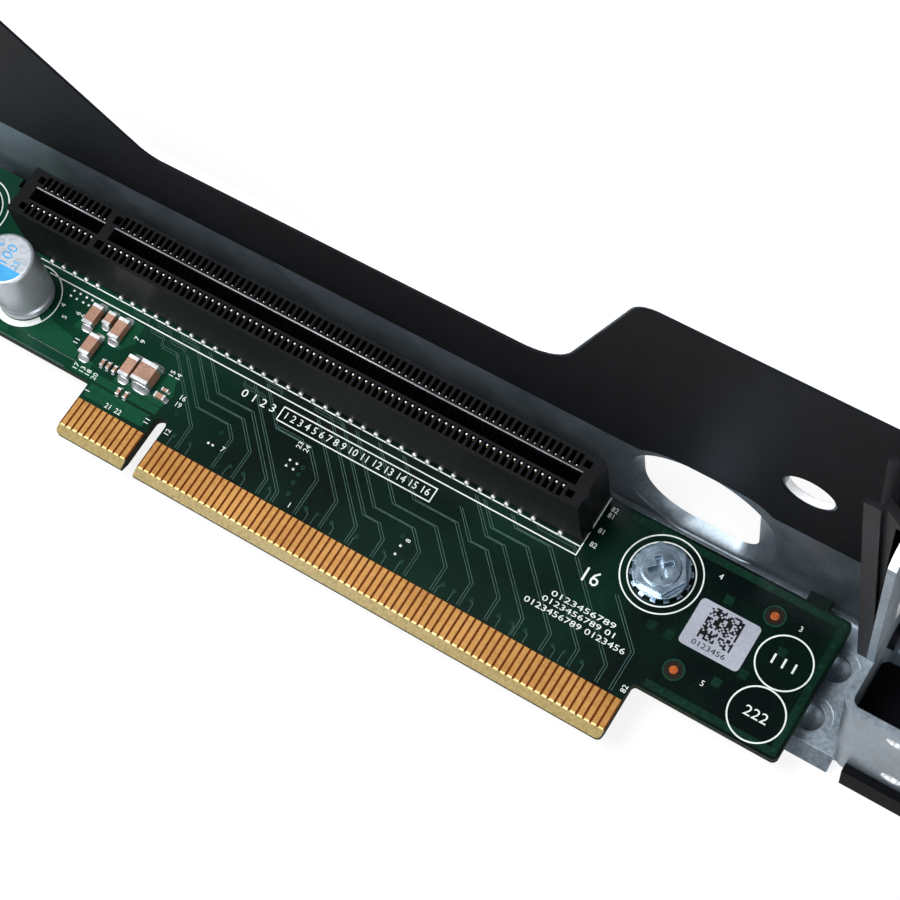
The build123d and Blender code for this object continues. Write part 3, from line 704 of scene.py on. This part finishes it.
# Plain numerals: text, place and height, and where needed the turn and the width they fill.
NUMERALS = [
    ("0 1 2 3", 21.35, 17.1, 1.15, 0, 5.4),
    ("1 2 3 4 5 6 7 8 9 10 11 12 13 14 15 16", 36.9, 17.08, 1.05, 0, 22.8),
    ("0123456789", 73.5, 13.3, 0.75, 0, 9.2),
    ("0123456789 01", 73.5, 12.2, 0.75, 0, 10.6),
    ("0123456789 0123456", 73.5, 11.0, 0.8, 0, 14.4),
    ("16", 72.0, 17.4, 2.0), ("111", 98.07, 19.35, 1.35, 0, 3.1),
    ("222", 98.25, 12.05, 1.35, 0, 3.1), ("4", 86.1, 25.5, 0.75), ("3", 97.8, 24.3, 0.75),
    ("5", 90.8, 12.3, 0.75), ("82", 70.2, 26.7, 0.7), ("81", 70.2, 25.8, 0.7),
    ("81", 70.2, 23.4, 0.7), ("82", 70.2, 21.3, 0.7), ("1", 0.0, 7.0, 0.75, 90),
    ("11", 9.8, 7.3, 0.75, 90), ("12", 13.2, 7.3, 0.75, 90), ("82", 83.0, 7.0, 0.75, 90),
    ("21", 3.9, 6.45, 0.75), ("22", 5.5, 6.45, 0.75), ("1", 33.3, 6.7, 0.75),
    ("7", 21.1, 8.9, 0.75), ("8", 49.5, 10.2, 0.7, 90), ("16", 12.1, 12.4, 0.75),
    ("19", 12.1, 11.3, 0.75), ("23", 29.8, 14.5, 0.75, 90), ("24", 30.9, 14.5, 0.75, 90),
    ("17", -3.6, 9.2, 0.75, 90), ("13", -2.5, 9.2, 0.75, 90), ("18", -1.5, 9.2, 0.75, 90),
    ("20", -0.4, 9.2, 0.75, 90), ("11", -5.8, 12.35, 0.75, 90),
    ("15", 8.75, 14.7, 0.75, 90), ("14", 9.8, 14.7, 0.75, 90), ("7", 1.4, 16.7, 0.75, 90),
    ("9", 2.4, 16.7, 0.75, 90), ("6", -8.15, 15.9, 0.75, 90), ("6", -7.35, 15.9, 0.75, 90),
    ("4", -10.75, 15.9, 0.75, 90), ("5", -9.5, 14.5, 0.75, 90), ("3", -36.6, 26.0, 0.75),
]
PAD_DOTS = [(x, y) for x in (-10.75, -9.68, -8.58, -7.6) for y in (18.5, 17.62)]
PAD_DOTS += [(18.9, 8.8), (19.6, 8.8), (29.8, 12.1), (30.9, 12.1), (29.8, 11.2), (30.9, 11.2)]
PAD_DOTS += [(48.95, 9.2), (48.95, 7.9)]
PAD_RADIUS = 0.24
PAD_CROWN = 0.12


def add_print(ink):
    """White ink: outlines of the slot and screws, stamp circles and plain numerals."""
    ink_layer = Layer(0.0, INK_TOP)
    for path in SLOT_LINES:
        ink_layer.line(path, LINE)
    ink_layer.outline(*NUMBER_BOX, LINE)
    for x, y in SCREWS:
        for radius, width in SCREW_RINGS:
            ink_layer.ring(x, y, radius, width, steps=64)
    for x, y in STAMPS:
        ink_layer.ring(x, y, *STAMP_RING, steps=64)
    for radius, width, start, steps in CAPACITOR_HALVES:
        ink_layer.ring(*CAPACITOR, radius, width, start=start, sweep=180, steps=steps)
    for numeral in NUMERALS:
        ink_layer.numbers(*numeral)
    ink_layer.finish("screen_print", ink, "label_paper")


def add_pad_dots(tin):
    """Small bare pads with a skin of solder."""
    dots = Mounds()
    for x, y in PAD_DOTS:
        dots.heap(x, y, 0.0, PAD_RADIUS, PAD_RADIUS, PAD_CROWN)
    dots.finish("tinned_pads", tin, "solder")


# Chips: length, width, height, reach of the solder, and places across and along the board.

CHIPS = {
    "1210": (3.2, 2.6, 2.2, 0.85, [(6.28, 12.55)], []),
    "1206": (3.2, 1.6, 1.35, 0.8, [(-5.62, 16.4), (-1.18, 16.4), (-3.34, 12.5), (3.37, 12.45)], []),
    "0805": (2.0, 1.25, 1.05, 0.6, [(-3.38, 17.1)], []),
    "0603": (1.6, 0.8, 0.8, 0.4, [], [(9.45, 11.0)]),
    "0402": (
        1.0, 0.5, 0.5, 0.28,
        [(-0.5, 11.35), (0.5, 11.35), (1.55, 11.35), (3.95, 8.95), (5.15, 8.95)],
        [(9.45, 12.15)],
    ),
}
FILLET_SINK = 0.02
FILLET_SPREAD = 0.56
FILLET_RISE = 0.55


def add_chip_solder(tin):
    """Bright hollow solder fillets at both ends of every chip, in place of the plain wedges."""
    solder = Mounds()
    for length, width, height, reach, standing, lying in CHIPS.values():
        spots = [(x, y, pi / 2) for x, y in standing] + [(x, y, 0.0) for x, y in lying]
        for x, y, turn in spots:
            for angle in (turn, turn + pi):
                end_x = x + cos(angle) * (length / 2 - FILLET_SINK)
                end_y = y + sin(angle) * (length / 2 - FILLET_SINK)
                half, rise = width * FILLET_SPREAD, height * FILLET_RISE
                solder.fillet(end_x, end_y, angle, half, reach, rise)
    piece = solder.finish("solder_fillets", tin, "solder")
    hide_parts("chip_solder")


# Slot

SLOT_FIRST = -17.27
SLOT_MIDDLE = 24.4
SLOT_HALF = 0.95
LIP = 0.35
# Recesses beside the key, drawn as flat squares of painted shade: left and near edges, and their
# size.
KEY_RECESSES = ((-6.05, 21.65), (-5.85, 25.85))
RECESS_LENGTH = 1.1
RECESS_DEPTH = 1.25
RECESS_SINK = 0.01
RECESS_RISE = 0.004
# Solder joints stand in front of the odd contacts, but for one, and reach under the housing.
JOINT_EMPTY = 81
JOINT_BEFORE = 0.12
JOINT_SIZE = (0.4, 0.48, 0.42)
# Coined tips, painted near white as the glints they catch: how far behind a lip, their level, and
# the radius in the near and far rows.
TIP_BEHIND = 0.24
TIP_LEVEL = 10.88
TIP_ROWS = ((-1, 0.16), (1, 0.1))
# The lead-in edge: a bar just inside the corner of the housing, broken by the key, drawn pale grey
# as a painted highlight line.
EDGE_RADIUS = 0.1
EDGE_INSET = 0.02
EDGE_BELOW = 0.03
EDGE_STEPS = 12
EDGE_BEFORE = 1.0
EDGE_AFTER = 1.25
KEY_MIDDLE = 11.5
KEY_HALF = 0.8


def add_recess_shade(recess_shade_black):
    """Painted shade: two flat black squares on the housing's top where the recesses beside the
    slot's key lie, one in each row of pockets.
    """
    marks = Layer(HOUSING_HIGH.z - RECESS_SINK, HOUSING_HIGH.z + RECESS_RISE)
    for x, low in KEY_RECESSES:
        marks.area(x, x + RECESS_LENGTH, low, low + RECESS_DEPTH)
    marks.finish("recess_shade_squares", recess_shade_black, "black_plastic")


def add_slot_details(tin, lead_in_highlight_grey, tip_glint_finish):
    """Solder joints, contact tips painted near white as glints, and the slot's lead-in edge painted
    pale grey as a highlight line.
    """
    joints = Mounds()
    for n in CONTACT_STEPS:
        if n % 2 == 1 and n != JOINT_EMPTY:
            joints.heap(SLOT_FIRST + n, HOUSING_LOW.y - JOINT_BEFORE, 0.0, *JOINT_SIZE)
    piece = joints.finish("slot_solder_joints", tin, "solder")
    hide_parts("slot_solder")

    tips = Mounds()
    for n in CONTACT_STEPS:
        for side, radius in TIP_ROWS:
            y = SLOT_MIDDLE + side * (SLOT_HALF + LIP + TIP_BEHIND)
            tips.heap(SLOT_FIRST + n, y, TIP_LEVEL, radius, radius, radius, steps=8, rings=3)
    tips.finish("contact_tip_glints", tip_glint_finish, "gold_plate")

    edges = bmesh.new()
    key = SLOT_FIRST + KEY_MIDDLE
    y = SLOT_MIDDLE + SLOT_HALF + EDGE_INSET
    z = HOUSING_HIGH.z - EDGE_BELOW
    before_key = (SLOT_FIRST - EDGE_BEFORE, key - KEY_HALF)
    after_key = (key + KEY_HALF, SLOT_FIRST + LAST_PLACE + EDGE_AFTER)
    for ends in (before_key, after_key):
        places = oval(y, z, EDGE_RADIUS, EDGE_RADIUS, EDGE_STEPS)
        close_solid(edges, [[edges.verts.new(at(x, *place)) for place in places] for x in ends])
    place_piece(edges, "slot_lead_in_highlight", lead_in_highlight_grey, smooth=True)


# Label and capacitor print

LABEL_CENTRE = (89.6, 18.83)
LABEL_TOP = 0.1
PRINT_SINK = 0.01
PRINT_RISE = 0.02
# A square of random dots, its shift from the label's centre, and the numerals below it.
CELL = 0.25
CELLS = 18
DOTS_SHIFT = (-0.15, 0.65)
LABEL_NUMERALS = (LABEL_CENTRE[0] - 0.3, LABEL_CENTRE[1] - 2.4, 0.72, 0, 4.6)

CAN_TOP = 10.2
CAN_MARK_RADIUS = 3.5
# The half-moon's straight side passes this far from the can's middle.
MOON_CHORD = -0.9
MOON_STEPS = 24
# Numerals on the can: text, shift from its middle and height.
CAN_NUMERALS = (("100", 0.1, 0.6, 1.6), ("25", 2.0, -0.1, 1.0), ("2 4 6", -1.75, 0.5, 1.0))


def add_label_print(black):
    """A random pattern of small squares that says nothing, and a row of plain numerals."""
    marks = Layer(LABEL_TOP - PRINT_SINK, LABEL_TOP + PRINT_RISE)
    left, low = (
        centre + shift - CELL * CELLS / 2 for centre, shift in zip(LABEL_CENTRE, DOTS_SHIFT)
    )
    for column in range(CELLS):
        for row in range(CELLS):
            if random.random() < 0.5:
                x, y = left + column * CELL, low + row * CELL
                marks.area(x, x + CELL, y, y + CELL)
    marks.numbers("0123456", *LABEL_NUMERALS)
    marks.finish("label_print", black, "rubber")


def add_can_print(blue):
    """The blue half-moon and plain numerals on top of the capacitor."""
    marks = Layer(CAN_TOP - PRINT_SINK, CAN_TOP + PRINT_RISE)
    x, y = CAPACITOR
    radius = CAN_MARK_RADIUS
    reach = acos(-MOON_CHORD / radius)
    turns = [-pi / 2 - reach + 2 * reach * n / MOON_STEPS for n in range(MOON_STEPS + 1)]
    marks.prism([(x + radius * cos(t), y + radius * sin(t)) for t in turns])
    for text, right, up, height in CAN_NUMERALS:
        marks.numbers(text, x + right, y + up, height, 90)
    marks.finish("capacitor_print", blue, "capacitor_aluminium")


# Card guide

GUIDE_WALL = 107.9
GUIDE_LOW = 10.5
GUIDE_MOUTH = 44.0
GUIDE_WALL_TOP = 48.5
GUIDE_HIGH = 53.0
GUIDE_DEPTH = 1.9
GUIDE_HALF = 2.9
GUIDE_SLOT_HALF = 1.0
GUIDE_MOUTH_HALF = 2.25
GUIDE_LEAN = 2.6
GUIDE_BACK = 1.0
GUIDE_WEB_INSET = 0.8
# The web behind an arm overlaps it, and stops short of its top.
WEB_OVERLAP = 0.1
WEB_BELOW_TOP = 0.3


def add_stack(mesh, levels):
    """A closed solid through level rectangles: height, then left, right, near and far."""
    rows = []
    for z, left, right, near, far in levels:
        corners = ((left, near), (right, near), (right, far), (left, far))
        rows.append([mesh.verts.new(at(x, y, z)) for x, y in corners])
    close_solid(mesh, rows)


def arm_faces(z):
    """Left and right faces of the guide's arms, which lean away from the wall as they rise."""
    rise = (z - GUIDE_LOW) / (GUIDE_HIGH - GUIDE_LOW)
    left = GUIDE_WALL - GUIDE_DEPTH - GUIDE_LEAN * rise
    return left, left + GUIDE_DEPTH


def add_guide(plastic):
    """The slotted guide for a card's edge: two leaning arms that part into a mouth, on a back."""
    mesh = bmesh.new()
    levels = (
        (GUIDE_LOW, GUIDE_SLOT_HALF), (GUIDE_MOUTH, GUIDE_SLOT_HALF), (GUIDE_HIGH, GUIDE_MOUTH_HALF)
    )
    for side in (-1, 1):
        outer = SLOT_MIDDLE + side * GUIDE_HALF
        web = SLOT_MIDDLE + side * (GUIDE_HALF - GUIDE_WEB_INSET)
        arm, gusset = [], []
        for z, half in levels:
            inner = SLOT_MIDDLE + side * half
            arm.append((z, *arm_faces(z), *sorted((inner, outer))))
        for z in (GUIDE_LOW, GUIDE_WALL_TOP):
            inner = SLOT_MIDDLE + side * GUIDE_SLOT_HALF
            left = arm_faces(z)[1] - WEB_OVERLAP
            gusset.append((z, left, GUIDE_WALL, *sorted((inner, web))))
        peak = arm_faces(GUIDE_HIGH)[1]
        gusset.append((GUIDE_HIGH - WEB_BELOW_TOP, peak - WEB_OVERLAP, peak, *gusset[-1][3:]))
        add_stack(mesh, arm)
        add_stack(mesh, gusset)
    low = SLOT_MIDDLE - GUIDE_HALF + GUIDE_WEB_INSET
    high = SLOT_MIDDLE + GUIDE_HALF - GUIDE_WEB_INSET
    back = (GUIDE_WALL - GUIDE_BACK, GUIDE_WALL, low, high)
    add_stack(mesh, [(z, *back) for z in (GUIDE_LOW, GUIDE_WALL_TOP)])
    bmesh.ops.recalc_face_normals(mesh, faces=mesh.faces)
    piece = place_piece(mesh, "card_edge_guide", plastic)
    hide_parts("card_guide")


# Pressed rim of the oval hole

CORNER_STEPS = 12
# Left, right, low, high and the four corner radii, from the lower left anticlockwise.
RIM_SEAT = (69.6, 91.7, -4.0, 18.1, (8.0, 5.0, 5.0, 8.0))
RIM_FRONT = (70.3, 91.2, -3.6, 17.35, (7.0, 7.0, 10.4, 10.4))
RIM_BACK = (71.8, 87.9, -2.65, 16.05, (7.5, 3.0, 5.0, 7.5))
# The seat lies just proud of the plate. From there the lip turns in, slowly at first.
RIM_DEPTH = 1.88
RIM_LIFTS = (0.02, 0.01)
RIM_SHARES = (0.0, 0.12, 0.3, 0.55, 0.8, 1.0)
RIM_TURN = 1.5


def rounded_loop(left, right, low, high, radii):
    """Places round a rectangle with rounded corners, as X and Z."""
    centres = (
        (left + radii[0], low + radii[0], 180),
        (right - radii[1], low + radii[1], 270),
        (right - radii[2], high - radii[2], 0),
        (left + radii[3], high - radii[3], 90),
    )
    places = []
    for (x, z, start), radius in zip(centres, radii):
        for n in range(CORNER_STEPS + 1):
            turn = radians(start + 90 * n / CORNER_STEPS)
            places.append((x + radius * cos(turn), z + radius * sin(turn)))
    return places


def add_pressed_rim(steel):
    """The smooth rolled lip of the oval hole, from the face of the plate to the back of its rim."""
    seat, front, back = (rounded_loop(*sizes) for sizes in (RIM_SEAT, RIM_FRONT, RIM_BACK))
    rows = [(seat, seat, 0.0, PLATE_FACE - RIM_LIFTS[0])]
    for share in RIM_SHARES:
        rows.append((front, back, share, PLATE_FACE - RIM_LIFTS[1] + RIM_DEPTH * share**RIM_TURN))
    mesh = bmesh.new()
    loops = []
    for first, second, share, y in rows:
        loop = []
        for (ax, az), (bx, bz) in zip(first, second):
            loop.append(mesh.verts.new(at(ax + (bx - ax) * share, y, az + (bz - az) * share)))
        loops.append(loop)
    for outer, inner in zip(loops, loops[1:]):
        for n in range(len(seat)):
            after = (n + 1) % len(seat)
            mesh.faces.new((outer[n], inner[n], inner[after], outer[after]))
    place_piece(mesh, "rolled_rim", steel, smooth=True)


# Pressed bowls and punched holes at the right end

# From the rim of a bowl to its floor: radius and level against the wall.
BOWL_PROFILE = (
    (2.84, 0.006), (2.7, -0.004), (2.5, -0.12), (2.2, -0.31), (1.9, -0.48),
    (1.5, -0.67), (1.1, -0.8), (0.7, -0.87), (0.3, -0.895),
)
BOWLS = ((103.5, 16.31), (103.5, 23.28))
BOWL_STEPS = 48

# Holes of the front flange: X, Z and radius. The drawn edge reaches inwards from the rim.
FLANGE_HOLES = ((115.7, 2.5, 1.4), (115.0, 15.8, 1.2))
DRAWN_EDGE = 0.3
DRAWN_START = 0.12
DRAWN_LIFT = 0.004
DRAWN_SHARES = (0.0, 0.25, 0.5, 0.75, 1.0)
HOLE_STEPS = 32


def add_drawn_edges(hole_highlight_steel):
    """Rolled edges inside the holes of the front flange, drawn in pale steel as a painted highlight
    of the reflections there.
    """
    mesh = bmesh.new()
    for x, z, radius in FLANGE_HOLES:
        rows = []
        for share in DRAWN_SHARES:
            reach = radius + DRAWN_START - DRAWN_EDGE * sin(share * pi / 2)
            y = FLANGE_FACE - DRAWN_LIFT + SHEET * (1 - cos(share * pi / 2))
            places = oval(x, z, reach, reach, HOLE_STEPS)
            rows.append([mesh.verts.new(at(px, y, pz)) for px, pz in places])
        bridge(mesh, rows)
    place_piece(mesh, "drawn_hole_edges", hole_highlight_steel, smooth=True)


def add_pressed_bowls(steel):
    """Smooth pressed bowls of the two dimples beside the board."""
    mesh = bmesh.new()
    for x, y in BOWLS:
        rows = []
        for radius, drop in BOWL_PROFILE:
            places = oval(x, y, radius, radius, BOWL_STEPS)
            rows.append([mesh.verts.new(at(px, py, WALL_FACE + drop)) for px, py in places])
        bridge(mesh, rows)
        mesh.faces.new(rows[-1])
    place_piece(mesh, "pressed_bowls", steel, smooth=True)


# Stage

WHITE = colour("#ffffff")
FLOOR_REACH = 3.0
# The floor shows this share of plain white, and the rest keeps the card's shadow.
FLOOR_WHITE = 0.85
# The surround's light, as linear red, green, blue and alpha.
SURROUND_GREY = (0.72, 0.77, 0.84, 1)
SURROUND_STRENGTH = 0.35


def show_white(tree, plain, white, other_ray, share, output):
    """White for the camera and one other kind of ray, and the plain shader for all others."""
    rays = add(tree, "LightPath")
    links = [(0, rays.outputs["Is Camera Ray"]), (1, rays.outputs[other_ray])]
    seen = add(tree, "Math", links, operation="MAXIMUM")
    part = add(tree, "Math", [(0, seen.outputs[0]), (1, share)], operation="MULTIPLY")
    links = [(0, part.outputs[0]), (1, plain.outputs[0]), (2, white.outputs[0])]
    mixed = add(tree, "MixShader", links)
    tree.links.new(mixed.outputs[0], tree.nodes[output].inputs["Surface"])


def add_floor():
    """A white floor that keeps a soft shadow."""
    material, tree, principled, _ = new_material("studio_floor", Roughness=0.9)
    principled.inputs["Base Color"].default_value = colour("#f4f4f4")
    white = add(tree, "Emission", [("Color", WHITE), ("Strength", 1.0)])
    show_white(tree, principled, white, "Is Glossy Ray", FLOOR_WHITE, "Material Output")
    data = bpy.data.meshes.new("floor")
    far = FLOOR_REACH
    corners = [(-far, -far, 0), (far, -far, 0), (far, far, 0), (-far, far, 0)]
    data.from_pydata(corners, [], [(0, 1, 2, 3)])
    data.materials.append(material)
    in_scene("floor", data)


def set_surround():
    """A blue-grey surround that lights the card and looks white to the camera."""
    world = bpy.data.worlds.new("studio")
    bpy.context.scene.world = world
    world.use_nodes = True
    tree = world.node_tree
    plain = tree.nodes["Background"]
    plain.inputs["Color"].default_value = SURROUND_GREY
    plain.inputs["Strength"].default_value = SURROUND_STRENGTH
    white = add(tree, "Background", [("Color", WHITE), ("Strength", 1.0)])
    show_white(tree, plain, white, "Is Transmission Ray", 1.0, "World Output")


set_camera()
add_floor()
set_surround()
for lamp in LAMPS:
    add_lamp(*lamp)

# Materials: name, dark and light colour, grain, roughness, depth of relief and rounding of the
# edges. The real grain of film, plastics, plating and ink is a tenth of a millimetre or less.
# It is drawn at 0.2 mm and more, because a finer one doesn't show.
DULL = {"Specular_IOR_Level": 0.1}
steel = galvanised_steel()
laminate = masked_laminate()
# Polycarbonate film with a rolled-in texture: matt, nearly black, hardly a reflection.
film = grained("textured_polycarbonate_film", "#0a0b0e", "#111216", 0.3, 0.6, 0.02, **DULL)
# Glass-filled nylon, moulded: black with a weak satin sheen.
nylon = grained("glass_filled_nylon", "#08090a", "#0e0f12", 0.25, 0.45, 0.02, 0.05, **DULL)
# Painted highlight: the slot's lead-in edge in a pale grey copy of the nylon, a thin bright line.
lead_in_highlight_grey = grained(
    "painted_highlight_nylon", "#7b7d80", "#a9abae", 0.4, 0.2, 0.005, Specular_IOR_Level=0.9
)
# Painted shade: the depth of a recess beside the key, where no light comes, drawn as plain black
# nylon.
recess_shade_black = grained(
    "painted_recess_shade", "#010101", "#030304", 0.3, 0.6, 0.003, Specular_IOR_Level=0.0
)
# Hard gold, plated on the fingers: warm orange, evenly satin.
gold = grained("hard_gold_plate", "#855b2a", "#9b723c", 0.5, 0.42, 0.005, 0.03, Metallic=0.75)
# Painted highlight: the gold at the board's bevel, drawn pale yellow and bright from every side as
# its glint.
finger_glint_gold = grained("painted_glint_gold", "#e6c06c", "#fbe6a6", 0.5, 0.35, 0.003, Metallic=0.2)
# Spring bronze with a flash of gold, with painted shade: drawn dark yellow for the depth of the
# pockets, where only small glints reach.
pocket_shaded_spring = grained("gold_spring_painted_shade", "#3a2c14", "#6a5226", 0.3, 0.35, 0.005, Metallic=1.0)
# Painted highlight: the coined tips of the springs, which face the light, drawn near white as
# glints.
tip_glint_white = grained("painted_glint_contact_tip", "#e8e8e6", "#ffffff", 0.3, 0.25, 0.003)
# Tin, molten and set: bright, with soft dark reflections.
tin = grained("reflowed_tin", "#b8babc", "#d8dadc", 1.2, 0.34, 0.003, 0.05, Metallic=0.75)
# Zinc plate, clear passivated, on screws, washers and standoffs: glossy with a blue cast.
zinc = grained("clear_passivated_zinc", "#6f8394", "#9fb3c4", 1.4, 0.24, 0.004, 0.15, Metallic=1.0)
# Painted highlight: steel inside a hole, drawn pale as a bright crescent of reflection.
hole_highlight_steel = grained("painted_highlight_steel", "#d2d6da", "#f4f6f8", 0.6, 0.25, 0.003, Metallic=0.5)
# Drawn aluminium under a clear lacquer: pale grey, softly shining.
can_metal = grained(
    "lacquered_aluminium", "#a2a7ae", "#b4b9c0", 0.6, 0.36, 0.004, 0.1, Metallic=0.6
)
# Moulded rubber: dead black, no shine.
rubber = grained("epdm_rubber", "#07080a", "#0d0e11", 0.5, 0.65, 0.03, 0.2, Specular_IOR_Level=0.03)
# Moulded ABS of the card guide: black with soft highlights on its edges.
abs_black = grained(
    "moulded_abs", "#0f1013", "#191a1f", 0.4, 0.4, 0.02, 0.15, Specular_IOR_Level=0.12
)
# Fired ceramic of the chips: smooth, pinkish brown.
titanate = grained("fired_barium_titanate", "#85604e", "#a57c67", 0.3, 0.4, 0.01, 0.05)
# Coated polyester of the label: even pale grey, half matt.
polyester = grained("matt_polyester_label", "#888c98", "#979ba7", 0.4, 0.5, 0.005)
# Etched copper of the optical marks: reddish, with a low shine.
copper = grained("bare_copper", "#a04a22", "#c46a38", 0.2, 0.3, 0.01, 0.05, Metallic=0.8)
# Solder mask over copper, paler than elsewhere: greyish on traces, greenest on broad areas.
trace_green = grained(
    "mask_over_traces", "#304842", "#435c56", 0.4, 0.25, 0.003, Specular_IOR_Level=0.15
)
pour_green = grained("mask_over_copper", "#0a3825", "#0d412b", 0.5, 0.22, 0.003, **DULL)
border_green = grained("mask_over_border_copper", "#071f16", "#0b291d", 0.5, 0.22, 0.003, **DULL)
via_green = grained("mask_over_vias", "#0d2c22", "#143a2d", 0.3, 0.22, 0.003, **DULL)
# Glass epoxy without mask or copper: a dark brown ring.
window_brown = grained("bare_laminate", "#120d08", "#1c150d", 0.3, 0.4, 0.003, **DULL)
# Epoxy ink, screen printed: slightly grey white, matt.
ink = grained("screen_printed_ink", "#c3cbc8", "#dfe4e2", 0.3, 0.6, 0.005)
# Wax and resin from a thermal printer: flat black.
print_black = grained("thermal_print", "#08090b", "#121317", 0.2, 0.6, 0.003, **DULL)
# Pad-printed ink on the can: clear blue, half matt.
print_blue = grained("can_marking_blue", "#1c86bd", "#2a9bd4", 0.3, 0.45, 0.003)

FINISHES = (
    (steel, ["carrier"]),
    (film, ["insulating_film"]),
    (laminate, ["circuit_board"]),
    (gold, ["front_fingers", "rear_fingers"]),
    (nylon, ["slot_housing"]),
    (pocket_shaded_spring, ["slot_contacts_front", "slot_contacts_rear"]),
    (zinc, ["standoffs", "screws", "lock_washers"]),
    (can_metal, ["capacitor_can"]),
    (rubber, ["capacitor_seal", "end_cushion", "edge_trim"]),
    (polyester, ["label"]),
    (copper, ["fiducials"]),
    (abs_black, ["card_guide", "guide_pins"]),
    (titanate, [f"chip_bodies_{size}" for size in CHIPS]),
    (tin, [f"chip_ends_{size}" for size in CHIPS]),
    (tin, ["capacitor_leads", "slot_solder", "chip_solder"]),
)
for material, names in FINISHES:
    for name in names:
        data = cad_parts[name].data
        data.materials.clear()
        data.materials.append(material)

add_covered_copper(trace_green, pour_green, border_green, via_green)
add_bare_laminate(window_brown)
add_finger_ends(finger_glint_gold)
add_print(ink)
add_pad_dots(tin)
add_chip_solder(tin)
add_recess_shade(recess_shade_black)
add_slot_details(tin, lead_in_highlight_grey, tip_glint_white)
add_label_print(print_black)
add_can_print(print_blue)
add_pressed_bowls(steel)
add_drawn_edges(hole_highlight_steel)
add_guide(abs_black)
add_pressed_rim(steel)

bpy.context.scene.view_settings.view_transform = "Standard"
